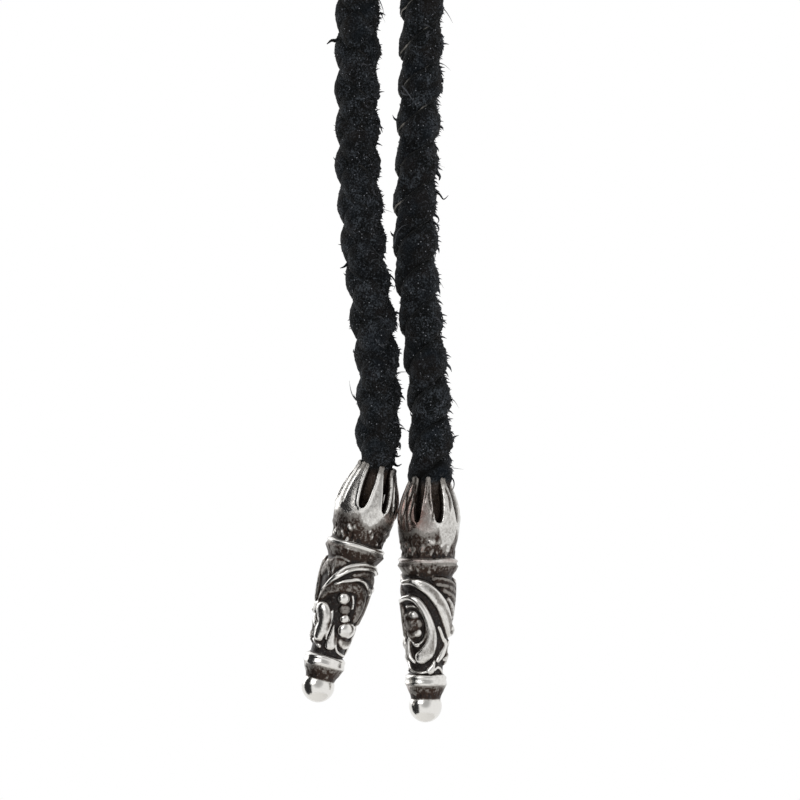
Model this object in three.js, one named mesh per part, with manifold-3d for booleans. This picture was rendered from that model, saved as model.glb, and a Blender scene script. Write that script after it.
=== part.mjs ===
// A braided leather necklace: one black lace-braided cord that runs as a loop round the neck, is gathered by a
// plain silver keeper and ends in two hanging tails, each with a cast silver tip.
// Millimetres, +Z up. The front faces -Y. The origin is the point of the nape that carries the loop.
import * as THREE from "three";
import { mergeVertices } from "three/addons/utils/BufferGeometryUtils.js";
import Module from "manifold-3d";

const wasm = await Module();
wasm.setup();

// Driving dimensions
const gap = 0.3; // clearance between neighbouring pieces
const braid = {
  radius: 2.2, // mean radius of the four-lace braid
  swell: 0.2, // how far the laces that lie on top stand out of it
  lead: 8.4, // length in which one lace goes once round the braid
  sides: 8,
};
const keeper = {
  y: -113,
  z: -233, // height of its middle
  height: 9,
  wall: 1.2,
  round: 0.35, // rounding of its rims
  cordSpacing: 6.8, // between the axes of its two holes
  holeRadius: 2.7,
};
const tip = {
  sides: 16, // of the turned form
  slots: 8,
  socketRadius: 1.72,
  socketDepth: 6.1,
  cordRadius: 1.4, // the braid squeezed into the socket
  cordDepth: 5,
};

// Route of the neck loop's right half, nape to keeper; the left half mirrors it.
const neckRoute = [
  { x: 0, y: 1.9, z: 1.3 },
  { x: 18, y: -0.8, z: -0.5 },
  { x: 35, y: -9, z: -6 },
  { x: 49, y: -23, z: -16 },
  { x: 58, y: -41, z: -30 },
  { x: 61, y: -60, z: -48 },
  { x: 59, y: -77, z: -70 },
  { x: 54, y: -90, z: -95 },
  { x: 46, y: -99, z: -121 },
  { x: 36.5, y: -105, z: -147 },
  { x: 26, y: -109, z: -172 },
  { x: 15.5, y: -111.7, z: -194 },
  { x: 7.6, y: -112.8, z: -210 },
  { x: 4, y: -113, z: -219.5 },
  { x: 3.4, y: -113, z: -227 },
  { x: 3.4, y: -113, z: keeper.z + gap / 2 },
];

// Routes of the two tails, keeper to mouth of the tip. A tip leans so that its lower end swings towards -X,
// and is turned about its own axis by its spin.
const tails = {
  left: {
    route: [
      { x: -3.4, z: keeper.z - gap / 2 },
      { x: -3.4, z: -240.5 },
      { x: -3.4, z: -249 },
      { x: -3.3, z: -257.5 },
      { x: -2.75, z: -266 },
      { x: -2.0, z: -272.4 },
      { x: -1.3, z: -278.8 },
      { x: -1.15, z: -284.5 },
      { x: -1.3, z: -290.3 },
    ],
    lean: 15.1,
    spin: -2,
  },
  right: {
    route: [
      { x: 3.4, z: keeper.z - gap / 2 },
      { x: 3.45, z: -240.5 },
      { x: 3.3, z: -248 },
      { x: 3.0, z: -256 },
      { x: 2.75, z: -264 },
      { x: 2.9, z: -270 },
      { x: 3.65, z: -277 },
      { x: 4.25, z: -283 },
      { x: 4.4, z: -287.5 },
      { x: 4.3, z: -291.6 },
    ],
    lean: 1,
    spin: 194,
  },
};

// Turned form of a tip: radius at each distance below its mouth.
const tipProfile = [
  { below: 0, radius: 2.05 },
  { below: 0.8, radius: 2.4 },
  { below: 1.6, radius: 2.72 },
  { below: 3.1, radius: 3.12 },
  { below: 4.8, radius: 3.3 },
  { below: 6.4, radius: 3.1 },
  { below: 8.3, radius: 2.85 },
  { below: 8.5, radius: 3.12 },
  { below: 9, radius: 3.24 },
  { below: 10.1, radius: 2.6 },
  { below: 12, radius: 2.5 },
  { below: 14.5, radius: 2.25 },
  { below: 17, radius: 1.85 },
  { below: 20.5, radius: 1.75 },
  { below: 20.9, radius: 2.15 },
  { below: 21.5, radius: 2.25 },
  { below: 23.1, radius: 1.62 },
];
// Half of the width of a slot between two petals, at each distance below the mouth.
const slotOutline = [
  { below: -1, half: 0.48 },
  { below: 1, half: 0.56 },
  { below: 2.2, half: 0.62 },
  { below: 3.4, half: 0.42 },
  { below: 4.6, half: 0 },
];
const ball = { below: 23.95, radius: 1.75, rows: 5, startTurn: 64 };

// Cast scrolls that stand on the turned form between collar and lower ring. Each runs through places given
// as degrees round the tip, 0 at its front, and distance below the mouth.
const scrolls = {
  upperRibbon: {
    half: 0.42,
    high: 0.45,
    places: [[-60, 15.2], [-46, 13.7], [-28, 12.6], [-8, 11.6], [12, 10.9], [38, 10.5], [78, 10.5]],
  },
  hood: {
    half: 0.6,
    high: 0.5,
    places: [[-44, 14.7], [-18, 13.4], [5, 12.6], [32, 12.4], [54, 13], [66, 14.4], [62, 16.2]],
  },
  hollowLeaf: { half: 0.25, high: 0.35, places: [[-40, 12.2], [-47, 11.2], [-38, 10.4], [-12, 10]] },
  waistedLeaf: { half: 0.55, high: 0.5, places: [[-40, 15.5], [-30, 16.6], [-26, 18], [-30, 19.6]] },
  stem: { half: 0.2, high: 0.35, places: [[14, 17.4], [20, 18.9], [45, 19.9], [77, 20.2]] },
  outerVolute: {
    half: 0.58,
    high: 0.55,
    places: [[88, 12.1], [104, 11.2], [128, 10.7], [154, 10.9], [178, 11.8], [200, 13.2], [221, 15.2], [236, 15.9]],
  },
  innerVolute: {
    half: 0.45,
    high: 0.55,
    places: [[80, 12.8], [110, 12.3], [134, 12.2], [158, 13.1], [176, 14.8], [178, 16.9], [160, 18.6], [132, 18.9]],
  },
  boat: { half: 0.22, high: 0.35, places: [[99, 19.4], [112, 20.1], [147, 20.3], [175, 20.1], [189, 18.9]] },
  sideLeaf: { half: 0.3, high: 0.4, places: [[202, 15.6], [217, 16.7], [216, 17.8], [202, 19.2]] },
};
const beads = [
  { round: 8, below: 14.1, radius: 0.52 },
  { round: 19, below: 15.2, radius: 0.55 },
  { round: 26, below: 16.4, radius: 0.5 },
  { round: 38, below: 17.8, radius: 0.8 },
  { round: 128, below: 15, radius: 0.95 },
];

const silver = (name) =>
  Object.assign(new THREE.MeshStandardMaterial({ color: 0xb9b6b0, metalness: 1, roughness: 0.25 }), { name });
const leather = (name) =>
  Object.assign(new THREE.MeshStandardMaterial({ color: 0x16161a, metalness: 0, roughness: 0.95 }), { name });

const vector = ({ x, y = keeper.y, z }) => new THREE.Vector3(x, y, z);

function curveThrough(points) {
  const curve = new THREE.CatmullRomCurve3(points, false, "catmullrom", 0.5);
  curve.arcLengthDivisions = 2000;
  return curve;
}

// One ring of a loft: an ellipse round its centre.
function ring(centre, across, outward, halfWide, halfHigh, sides) {
  return Array.from({ length: sides }, (_, k) => {
    const turn = (2 * Math.PI * k) / sides;
    return centre
      .clone()
      .addScaledVector(across, halfWide * Math.cos(turn))
      .addScaledVector(outward, halfHigh * Math.sin(turn));
  });
}

// A closed skin over rings that all have the same number of points.
function skin(rings) {
  const sides = rings[0].length;
  const middle = (points) =>
    points.reduce((sum, p) => sum.add(p), new THREE.Vector3()).divideScalar(sides);
  const points = [...rings.flat(), middle(rings[0]), middle(rings.at(-1))];
  const first = rings.length * sides;
  const faces = [];
  for (let k = 0; k < sides; k++) {
    const next = (k + 1) % sides;
    faces.push(first, k, next);
    for (let i = 0; i < rings.length - 1; i++) {
      const low = i * sides;
      const high = low + sides;
      faces.push(low + k, high + next, low + next, low + k, high + k, high + next);
    }
    const last = (rings.length - 1) * sides;
    faces.push(first + 1, last + next, last + k);
  }
  const geometry = new THREE.BufferGeometry();
  geometry.setAttribute("position", new THREE.Float32BufferAttribute(points.flatMap((p) => p.toArray()), 3));
  geometry.setIndex(faces);
  return geometry;
}

// The braid along a curve. Two laces lie on top at its front and back, then two at its sides, and so on, so
// its section is an oval that turns by a right angle every quarter of the lead.
function braidedCord(curve, reference, socket = null) {
  const length = curve.getLength();
  const lump = braid.lead / 2;
  const full = socket ? length - socket.depth - socket.shoulder : length;
  const steps = Math.round((2 * full) / lump);
  const places = Array.from({ length: steps + 1 }, (_, i) => {
    const wave = i % 2 ? -braid.swell : braid.swell;
    return { along: (full * i) / steps, wide: braid.radius + wave, high: braid.radius - wave };
  });
  if (socket) {
    const squeezed = { wide: socket.radius, high: socket.radius };
    places.push({ along: full + socket.shoulder - gap / 2, ...squeezed }, { along: length, ...squeezed });
  }
  return skin(
    places.map(({ along, wide, high }) => {
      const tangent = curve.getTangentAt(along / length);
      const across = tangent.clone().cross(reference).normalize();
      const outward = across.clone().cross(tangent).normalize();
      return ring(curve.getPointAt(along / length), across, outward, wide, high, braid.sides);
    }),
  );
}

// The direction in which a tip points, away from its mouth.
const tipDirection = (lean) => {
  const angle = THREE.MathUtils.degToRad(lean);
  return new THREE.Vector3(-Math.sin(angle), 0, -Math.cos(angle));
};

function neckLoop() {
  const right = neckRoute.map(vector);
  const left = right.slice(1).map((p) => new THREE.Vector3(-p.x, p.y, p.z));
  const planeNormal = new THREE.Vector3(0, -0.88, 0.47); // roughly square to the whole loop
  return braidedCord(curveThrough([...left.reverse(), ...right]), planeNormal);
}

function tail({ route, lean }) {
  const points = route.map(vector);
  points.push(points.at(-1).clone().addScaledVector(tipDirection(lean), tip.cordDepth));
  const socket = { depth: tip.cordDepth, shoulder: 0.9, radius: tip.cordRadius };
  return braidedCord(curveThrough(points), new THREE.Vector3(0, 1, 0), socket);
}

function keeperBody() {
  const { cordSpacing, holeRadius, wall, round, height } = keeper;
  const end = holeRadius + wall - round;
  const half = cordSpacing / 2;
  const outline = new THREE.Shape();
  outline.absarc(half, 0, end, -Math.PI / 2, Math.PI / 2);
  outline.absarc(-half, 0, end, Math.PI / 2, (3 * Math.PI) / 2);
  for (const x of [-half, half]) {
    outline.holes.push(new THREE.Path().absarc(x, 0, holeRadius + round, 0, 2 * Math.PI, true));
  }
  const geometry = new THREE.ExtrudeGeometry(outline, {
    depth: height - 2 * round,
    bevelThickness: round,
    bevelSize: round,
    bevelSegments: 1,
    curveSegments: 8,
  });
  return geometry.translate(0, 0, round - height / 2);
}

function solidOf(geometry) {
  const bare = geometry.clone();
  bare.deleteAttribute("normal");
  bare.deleteAttribute("uv");
  const merged = mergeVertices(bare, 1e-4);
  return new wasm.Manifold(
    new wasm.Mesh({
      numProp: 3,
      vertProperties: merged.attributes.position.array,
      triVerts: new Uint32Array(merged.index.array),
    }),
  );
}

function geometryOf(solid) {
  const mesh = solid.getMesh();
  const geometry = new THREE.BufferGeometry();
  geometry.setAttribute("position", new THREE.Float32BufferAttribute(mesh.vertProperties, 3));
  geometry.setIndex(Array.from(mesh.triVerts));
  return geometry;
}

// A turned solid about Z from { below, radius } rows, with a flat side towards the front.
function turned(rows, sides) {
  const outline = rows.map(({ below, radius }) => new THREE.Vector2(radius, -below)).reverse();
  return new THREE.LatheGeometry(outline, sides).rotateX(Math.PI / 2).rotateZ(Math.PI / sides);
}

function tipForm() {
  const start = THREE.MathUtils.degToRad(ball.startTurn);
  const dome = Array.from({ length: ball.rows }, (_, i) => {
    const turn = THREE.MathUtils.lerp(start, Math.PI, i / (ball.rows - 1));
    return { below: ball.below - ball.radius * Math.cos(turn), radius: ball.radius * Math.sin(turn) };
  });
  dome.at(-1).radius = 0;
  return turned([{ below: 0, radius: 0 }, ...tipProfile, ...dome], tip.sides);
}

function tipSocket() {
  const { socketRadius, socketDepth, sides } = tip;
  const rows = [
    { below: -1, radius: 0 },
    { below: -1, radius: socketRadius },
    { below: 0.8, radius: socketRadius },
    { below: 3, radius: 2.35 },
    { below: socketDepth, radius: 2.35 },
    { below: socketDepth, radius: 0 },
  ];
  return turned(rows, sides);
}

// The cutter of one slot between two petals: a tongue with a pointed lower end, pushed in from the side.
function slotCutter() {
  const right = slotOutline.map(({ below, half }) => new THREE.Vector2(half, -below));
  const left = right.slice(0, -1).map((p) => new THREE.Vector2(-p.x, p.y));
  const reach = { from: 1.2, length: 3 };
  return new THREE.ExtrudeGeometry(new THREE.Shape([...left, ...right.reverse()]), {
    depth: reach.length,
    bevelEnabled: false,
  })
    .rotateX(Math.PI / 2)
    .translate(0, -reach.from, 0);
}

const formRadius = (below) => {
  const next = tipProfile.findIndex((row) => row.below > below);
  const [a, b] = [tipProfile[next - 1], tipProfile[next]];
  return THREE.MathUtils.mapLinear(below, a.below, b.below, a.radius, b.radius);
};

// A place on the turned form.
function onForm(degrees, below, lift = 0) {
  const turn = THREE.MathUtils.degToRad(degrees);
  const radius = formRadius(below) + lift;
  return new THREE.Vector3(radius * Math.sin(turn), -radius * Math.cos(turn), -below);
}

// A scroll has a flat crown and sloping flanks, and is thinner at its ends. Its foot is sunk in the form.
function scrollRidge({ half, high, places }) {
  const curve = curveThrough(places.map(([degrees, below]) => onForm(degrees, below)));
  const steps = Math.round(1.4 * places.length);
  const sunk = -0.35;
  return skin(
    Array.from({ length: steps + 1 }, (_, i) => {
      const share = i / steps;
      const fullness = 0.5 + 0.5 * Math.sin(Math.PI * share) ** 0.6;
      const place = curve.getPointAt(share);
      const outward = place.clone().setZ(0).normalize();
      const centre = outward.clone().multiplyScalar(formRadius(-place.z)).setZ(place.z);
      const across = curve.getTangentAt(share).cross(outward).normalize();
      const corner = (side, lift) =>
        centre.clone().addScaledVector(across, side * half * fullness).addScaledVector(outward, lift);
      return [corner(1, sunk), corner(0.55, high * fullness), corner(-0.55, high * fullness), corner(-1, sunk)];
    }),
  );
}

function castTip() {
  let solid = solidOf(tipForm()).subtract(solidOf(tipSocket()));
  for (let i = 0; i < tip.slots; i++) {
    solid = solid.subtract(solidOf(slotCutter().rotateZ((i * 2 * Math.PI) / tip.slots)));
  }
  for (const scroll of Object.values(scrolls)) solid = solid.add(solidOf(scrollRidge(scroll)));
  for (const { round, below, radius } of beads) {
    const bead = new THREE.SphereGeometry(radius, 7, 4).translate(...onForm(round, below, radius / 4));
    solid = solid.add(solidOf(bead));
  }
  return geometryOf(solid);
}

function hangingTip(name, { route, lean, spin }, geometry) {
  const mesh = new THREE.Mesh(geometry, silver("cast silver"));
  mesh.name = name;
  mesh.rotation.z = THREE.MathUtils.degToRad(spin);
  const hanger = new THREE.Group();
  hanger.position.copy(vector(route.at(-1)));
  hanger.rotation.y = THREE.MathUtils.degToRad(lean);
  hanger.add(mesh);
  return hanger;
}

function piece(name, geometry, material) {
  const mesh = new THREE.Mesh(geometry, material);
  mesh.name = name;
  return mesh;
}

const necklace = new THREE.Group();
necklace.add(piece("neck_loop_braid", neckLoop(), leather("suede")));
necklace.add(piece("tail_braid_left", tail(tails.left), leather("suede")));
necklace.add(piece("tail_braid_right", tail(tails.right), leather("suede")));

const keeperMesh = piece("cord_keeper", keeperBody(), silver("turned silver"));
keeperMesh.position.set(0, keeper.y, keeper.z);
necklace.add(keeperMesh);

const tipGeometry = castTip();
necklace.add(hangingTip("tip_left", tails.left, tipGeometry));
necklace.add(hangingTip("tip_right", tails.right, tipGeometry));

export default necklace;
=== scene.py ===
# A braided suede necklace with a silver keeper and cast silver tips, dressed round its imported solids.
# Settings are in millimetres and degrees. +Z is up and the front faces -Y.
import math

import bmesh
import bpy
import numpy as np
from mathutils import Matrix, Vector


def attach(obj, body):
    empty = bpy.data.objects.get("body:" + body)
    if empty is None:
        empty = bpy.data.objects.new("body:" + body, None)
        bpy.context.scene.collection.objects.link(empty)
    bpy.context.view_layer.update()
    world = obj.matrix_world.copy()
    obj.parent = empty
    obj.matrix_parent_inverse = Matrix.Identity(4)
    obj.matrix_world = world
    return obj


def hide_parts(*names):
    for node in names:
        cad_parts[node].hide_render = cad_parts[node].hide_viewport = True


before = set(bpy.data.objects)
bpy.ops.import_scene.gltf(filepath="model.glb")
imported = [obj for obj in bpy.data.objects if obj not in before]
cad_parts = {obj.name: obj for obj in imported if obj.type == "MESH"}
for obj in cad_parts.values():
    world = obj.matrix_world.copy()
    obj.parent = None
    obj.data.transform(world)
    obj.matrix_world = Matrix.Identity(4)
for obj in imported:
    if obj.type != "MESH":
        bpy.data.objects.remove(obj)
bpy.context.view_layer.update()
mm = 0.001

# The kinds of node that the trees use most
math1, math3 = "ShaderNodeMath", "ShaderNodeVectorMath"  # sums of numbers, and of vectors
noiseNode, mapRange, mixNode = "ShaderNodeTexNoise", "ShaderNodeMapRange", "ShaderNodeMix"
readNode, storeNode = "ShaderNodeAttribute", "GeometryNodeStoreNamedAttribute"
moveNode, randomNode = "GeometryNodeSetPosition", "FunctionNodeRandomValue"


# Helpers

def linear(hexColour):  # an sRGB colour as the linear values that a shader takes
    channels = [int(hexColour[i:i + 2], 16) / 255 for i in (1, 3, 5)]
    return tuple(c / 12.92 if c <= 0.04045 else ((c + 0.055) / 1.055) ** 2.4 for c in channels) + (1.0,)


def add(tree, kind, inputs=None, **settings):  # one node, with its settings, values and links
    node = tree.nodes.new(kind)
    for name, value in settings.items():
        setattr(node, name, value)
    for key, value in (inputs or {}).items():
        if isinstance(value, bpy.types.Node):
            value = value.outputs[0]
        if isinstance(value, bpy.types.NodeSocket):
            tree.links.new(value, node.inputs[key])
        else:
            node.inputs[key].default_value = value
    return node


def geometryTree(name, sockets):  # a Geometry Nodes tree, its named inputs and its output node
    tree = bpy.data.node_groups.new(name, "GeometryNodeTree")
    tree.interface.new_socket("Geometry", in_out="OUTPUT", socket_type="NodeSocketGeometry")
    for label, kind in sockets:
        tree.interface.new_socket(label, in_out="INPUT", socket_type="NodeSocket" + kind)
    return tree, add(tree, "NodeGroupInput").outputs, add(tree, "NodeGroupOutput")


def newObject(name, data):
    made = bpy.data.objects.new(name, data)
    bpy.context.collection.objects.link(made)
    return made


def plainMesh(source):  # the mesh that an object's modifiers and curves come to; the object goes
    evaluated = source.evaluated_get(bpy.context.evaluated_depsgraph_get())
    mesh = bpy.data.meshes.new_from_object(evaluated)
    bpy.data.objects.remove(source)
    return mesh


def madeByNodes(name, source, tree, values):  # the plain mesh that a tree makes from a source object
    modifier = source.modifiers.new("nodes", "NODES")
    modifier.node_group = tree
    for item in tree.interface.items_tree:
        if item.in_out == "INPUT" and item.name in values:
            modifier[item.identifier] = values[item.name]
    return newObject(name, plainMesh(source))


def newMaterial(name):  # a material without nodes, and its tree
    material = bpy.data.materials.new(name)
    material.use_nodes = True
    material.node_tree.nodes.clear()
    return material, material.node_tree


# Routes of the cords, in step with the solids

keeper = {"y": -113.0, "z": -233.0, "gap": 0.3}
neckRoute = [  # right half, nape to keeper
    (0, 1.9, 1.3), (18, -0.8, -0.5), (35, -9, -6), (49, -23, -16), (58, -41, -30), (61, -60, -48),
    (59, -77, -70), (54, -90, -95), (46, -99, -121), (36.5, -105, -147), (26, -109, -172),
    (15.5, -111.7, -194), (7.6, -112.8, -210), (4, -113, -219.5), (3.4, -113, -227),
    (3.4, -113, keeper["z"] + keeper["gap"] / 2),
]
tails = {
    "left": {
        "braid": {"Pass over front": -1.0, "Lead": 8.14, "Band height": 14.76, "Turn": math.radians(5),
                  "Dominance": 0.05, "Shaggy side": (1.0, 0.0, 0.0), "Seed": 2},
        "places": [(-3.4, keeper["z"] - keeper["gap"] / 2), (-3.4, -240.5), (-3.4, -249), (-3.3, -257.5),
                   (-2.75, -266), (-2.0, -272.4), (-1.3, -278.8), (-1.15, -284.5), (-1.3, -290.3)],
        "lean": 15.1, "spin": -2,
    },
    "right": {
        "braid": {"Pass over front": 1.0, "Lead": 8.38, "Band height": 16.5, "Turn": math.radians(-30),
                  "Dominance": 0.36, "Mean radius": 1.42, "Lace width": 3.6, "Least radius": 1.5,
                  "Crown radius": 2.9, "Shaggy side": (1.0, 0.0, 0.0), "Seed": 3},
        "places": [(3.4, keeper["z"] - keeper["gap"] / 2), (3.45, -240.5), (3.3, -248), (3.0, -256),
                   (2.75, -264), (2.9, -270), (3.65, -277), (4.25, -283), (4.4, -287.5), (4.3, -291.6)],
        "lean": 1, "spin": 194,
    },
}
socket = {"cordDepth": 5.0, "squeezedOver": 1.1}  # the cord narrows over the last of its way to the mouth


def tipDirection(lean):  # down the tip, from its mouth
    angle = math.radians(lean)
    return np.array([-math.sin(angle), 0, -math.cos(angle)])


def tailPoints(tail):  # from the keeper to the cord's end in the tip
    points = [np.array([x, keeper["y"], z]) for x, z in tail["places"]]
    return points + [points[-1] + socket["cordDepth"] * tipDirection(tail["lean"])]


def smoothRoute(points, step):  # a uniform Catmull-Rom curve through the points, in millimetres
    knots = np.array(points, float)
    knots = np.vstack([2 * knots[0] - knots[1], knots, 2 * knots[-1] - knots[-2]])
    route = []
    for a, b, c, d in zip(knots, knots[1:], knots[2:], knots[3:]):
        steps = max(2, round(np.linalg.norm(c - b) / step))
        t = np.arange(steps)[:, None] / steps
        route.append(b + t * (c - a) / 2 + t**2 * (2 * a - 5 * b + 4 * c - d) / 2
                     + t**3 * (3 * b - a - 3 * c + d) / 2)
    return np.vstack(route + [knots[-2:-1]])


def routeObject(points):  # a mesh of edges alone, which the trees read as the route
    mesh = bpy.data.meshes.new("route")
    edges = [(i, i + 1) for i in range(len(points) - 1)]
    mesh.from_pydata((np.array(points) * mm).tolist(), edges, [])
    return newObject("route", mesh)


# The view

view = {"middle": (1.17, -113.0, -283.0), "width": 85.1, "distance": 500.0, "sensor": 36.0, "nearest": 10.0}


def makeCamera():
    data = bpy.data.cameras.new("camera")
    data.sensor_width = view["sensor"]
    data.lens = view["sensor"] * view["distance"] / view["width"]
    data.clip_start = view["nearest"] * mm
    camera = newObject("camera", data)
    x, y, z = view["middle"]
    camera.location = (x * mm, (y - view["distance"]) * mm, z * mm)
    camera.rotation_euler = (math.pi / 2, 0, 0)
    bpy.context.scene.camera = camera


makeCamera()
print("camera done")


# Materials

suede = {
    # deep is the nap's darkest shade, and also the colour of the painted shade under and between the laces
    "deep": "#010202", "nap": "#0d0f11", "raised": "#464b51", "blue": "#10171e", "brown": "#1a1512",
    "speck": "#8b8d93", "fibre": "#5c5e64", "socket": "#6b5a4e",
    # A size is the width of its pattern's largest grains
    "napSize": 0.2, "tuftSize": 1.3, "mottleSize": 2.2, "speckSize": 0.26, "wornSize": 2.4, "bumpSize": 0.16,
    "bumpHeight": 0.3,
    "deepAt": 0.34, "napAt": 0.5, "raisedAt": 0.7,  # where the shades lie in the pattern of the nap
    "tuftShare": 0.42, "speckShare": 0.1, "glueShare": 0.8,
    "edgeAt": 0.455, "edgeHalf": 0.017,  # the cut edge, in shares of the lace's width from its middle
    "edgeSheenTo": -262.0, "edgeSheenFade": 3.0,  # the height down to which the cut edges get their lighter colour and painted highlight, near the keeper
    "glueFrom": 0.1, "glueTo": -0.7,  # heights from the tip's mouth
}


def suedeMaterial(name, edgeColour, mouth):  # matt nap with pale fibre ends, and smoother cut edges, lighter where they face left with a painted highlight
    material, tree = newMaterial(name)
    place = add(tree, "ShaderNodeTexCoord").outputs["Object"]
    height = add(tree, "ShaderNodeSeparateXYZ", {0: place}).outputs["Z"]
    grain = {}
    for kind, detail, roughness in (("nap", 3.0, 0.65), ("tuft", 2.0, 0.5), ("worn", 3.0, 0.5),
                                    ("bump", 2.0, 0.6)):
        grain[kind] = add(tree, noiseNode, {"Vector": place, "Scale": 1 / (suede[kind + "Size"] * mm),
                                            "Detail": detail, "Roughness": roughness})
    lie = add(tree, math1, {0: grain["tuft"], 1: suede["tuftShare"], 2: -suede["tuftShare"] / 2},
              operation="MULTIPLY_ADD")
    shade = add(tree, math1, {0: grain["nap"], 1: lie}, operation="ADD")
    ramp = add(tree, "ShaderNodeValToRGB", {0: shade})
    shades = ramp.color_ramp.elements
    for number, tint in enumerate(("deep", "raised")):
        shades[number].position = suede[tint + "At"]
        shades[number].color = linear(suede[tint])
    shades.new(suede["napAt"]).color = linear(suede["nap"])

    layers = []  # each mask and the colour that it lays over the nap
    for tint, seed in (("blue", 3.0), ("brown", 11.0)):  # dye that has taken unevenly
        patch = add(tree, noiseNode, {"Vector": place, "W": seed, "Scale": 1 / (suede["mottleSize"] * mm),
                                      "Detail": 2.0}, noise_dimensions="4D")
        patch = add(tree, mapRange, {"Value": patch, "From Min": 0.5, "From Max": 0.7, "To Max": 0.6})
        layers.append((patch, suede[tint]))
    under = add(tree, readNode, attribute_name="under").outputs["Fac"]  # painted shade: dark where a lace dips below another
    under = add(tree, mapRange, {"Value": under, "From Min": -0.2, "From Max": 1.1, "To Max": 0.75})
    across = add(tree, readNode, attribute_name="across").outputs["Fac"]
    across = add(tree, math1, {0: across}, operation="ABSOLUTE")
    # painted shade along both edges of each lace, in the creases where the laces meet
    seamShade = add(tree, mapRange, {"Value": across, "From Min": 0.34, "From Max": 0.46, "To Max": 0.75})
    specks = add(tree, "ShaderNodeTexVoronoi", {"Vector": place, "Scale": 1 / (suede["speckSize"] * mm)})
    small = add(tree, mapRange, {"Value": specks.outputs["Distance"], "From Min": 0.12, "From Max": 0.3,
                                 "To Min": 1.0, "To Max": 0.0})
    few = add(tree, "ShaderNodeSeparateColor", {0: specks.outputs["Color"]})
    few = add(tree, math1, {0: few.outputs["Red"], 1: 1 - suede["speckShare"]}, operation="GREATER_THAN")
    small = add(tree, math1, {0: small, 1: few}, operation="MULTIPLY")
    pale = add(tree, readNode, attribute_name="pale").outputs["Fac"]

    # painted highlight: the cut edge's lighter colour is partly its own and partly light caught from the left,
    # laid in noise patches, only where the lace faces left and above a height near the keeper
    edge = add(tree, math1, {0: across, 1: suede["edgeAt"], 2: suede["edgeHalf"]}, operation="COMPARE")
    worn = add(tree, mapRange, {"Value": grain["worn"], "From Min": 0.36, "From Max": 0.48})
    outward = add(tree, readNode, attribute_name="outward").outputs["Vector"]
    outward = add(tree, "ShaderNodeSeparateXYZ", {0: outward}).outputs["X"]
    leftFacing = add(tree, mapRange, {"Value": outward, "From Min": 0.0, "From Max": -0.4})
    cutoff = add(tree, mapRange, {"Value": height, "From Min": (suede["edgeSheenTo"] - suede["edgeSheenFade"]) * mm,
                                  "From Max": suede["edgeSheenTo"] * mm})
    for mask in (worn, leftFacing, cutoff):
        edge = add(tree, math1, {0: edge, 1: mask}, operation="MULTIPLY")
    inside = add(tree, mapRange, {"Value": height, "From Min": (mouth + suede["glueFrom"]) * mm,
                                  "From Max": (mouth + suede["glueTo"]) * mm})  # old glue in the socket
    for share in (suede["glueShare"], grain["nap"]):
        inside = add(tree, math1, {0: inside, 1: share}, operation="MULTIPLY")

    # under and seamShade lay painted shade in the deep colour; edge lays the cut edge's colour and its painted
    # highlight
    layers += [(under, suede["deep"]), (seamShade, suede["deep"]), (small, suede["speck"]), (pale, suede["fibre"]),
               (edge, edgeColour), (inside, suede["socket"])]
    colour = ramp
    for mask, tint in layers:
        colour = add(tree, mixNode, {0: mask, 6: colour, 7: linear(tint)}, data_type="RGBA").outputs[2]
    bump = add(tree, "ShaderNodeBump", {"Height": grain["bump"], "Strength": 0.8,
                                        "Distance": suede["bumpHeight"] * mm})
    rough = add(tree, mapRange, {"Value": edge, "To Min": 0.95, "To Max": 0.45})
    shader = add(tree, "ShaderNodeBsdfPrincipled", {
        "Base Color": colour, "Roughness": rough, "Specular IOR Level": 0.15, "Normal": bump,
        "Sheen Weight": 0.06, "Sheen Roughness": 0.4})
    add(tree, "ShaderNodeOutputMaterial", {"Surface": shader})
    return material


silver = {
    "polish": "#e4e2de", "satin": "#8f8b86", "umber": "#3a2e28", "oxide": "#130e0c", "tarnish": "#7a5c54",
    "films": [("satin", 0.08, 0.34), ("umber", 0.36, 0.6), ("oxide", 0.6, 0.95)],  # where each is thin and full
    "grimeSize": 0.26, "hazeSize": 0.42, "stainSize": 1.4, "pitSize": 0.18, "pitDepth": 0.06,
}


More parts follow.
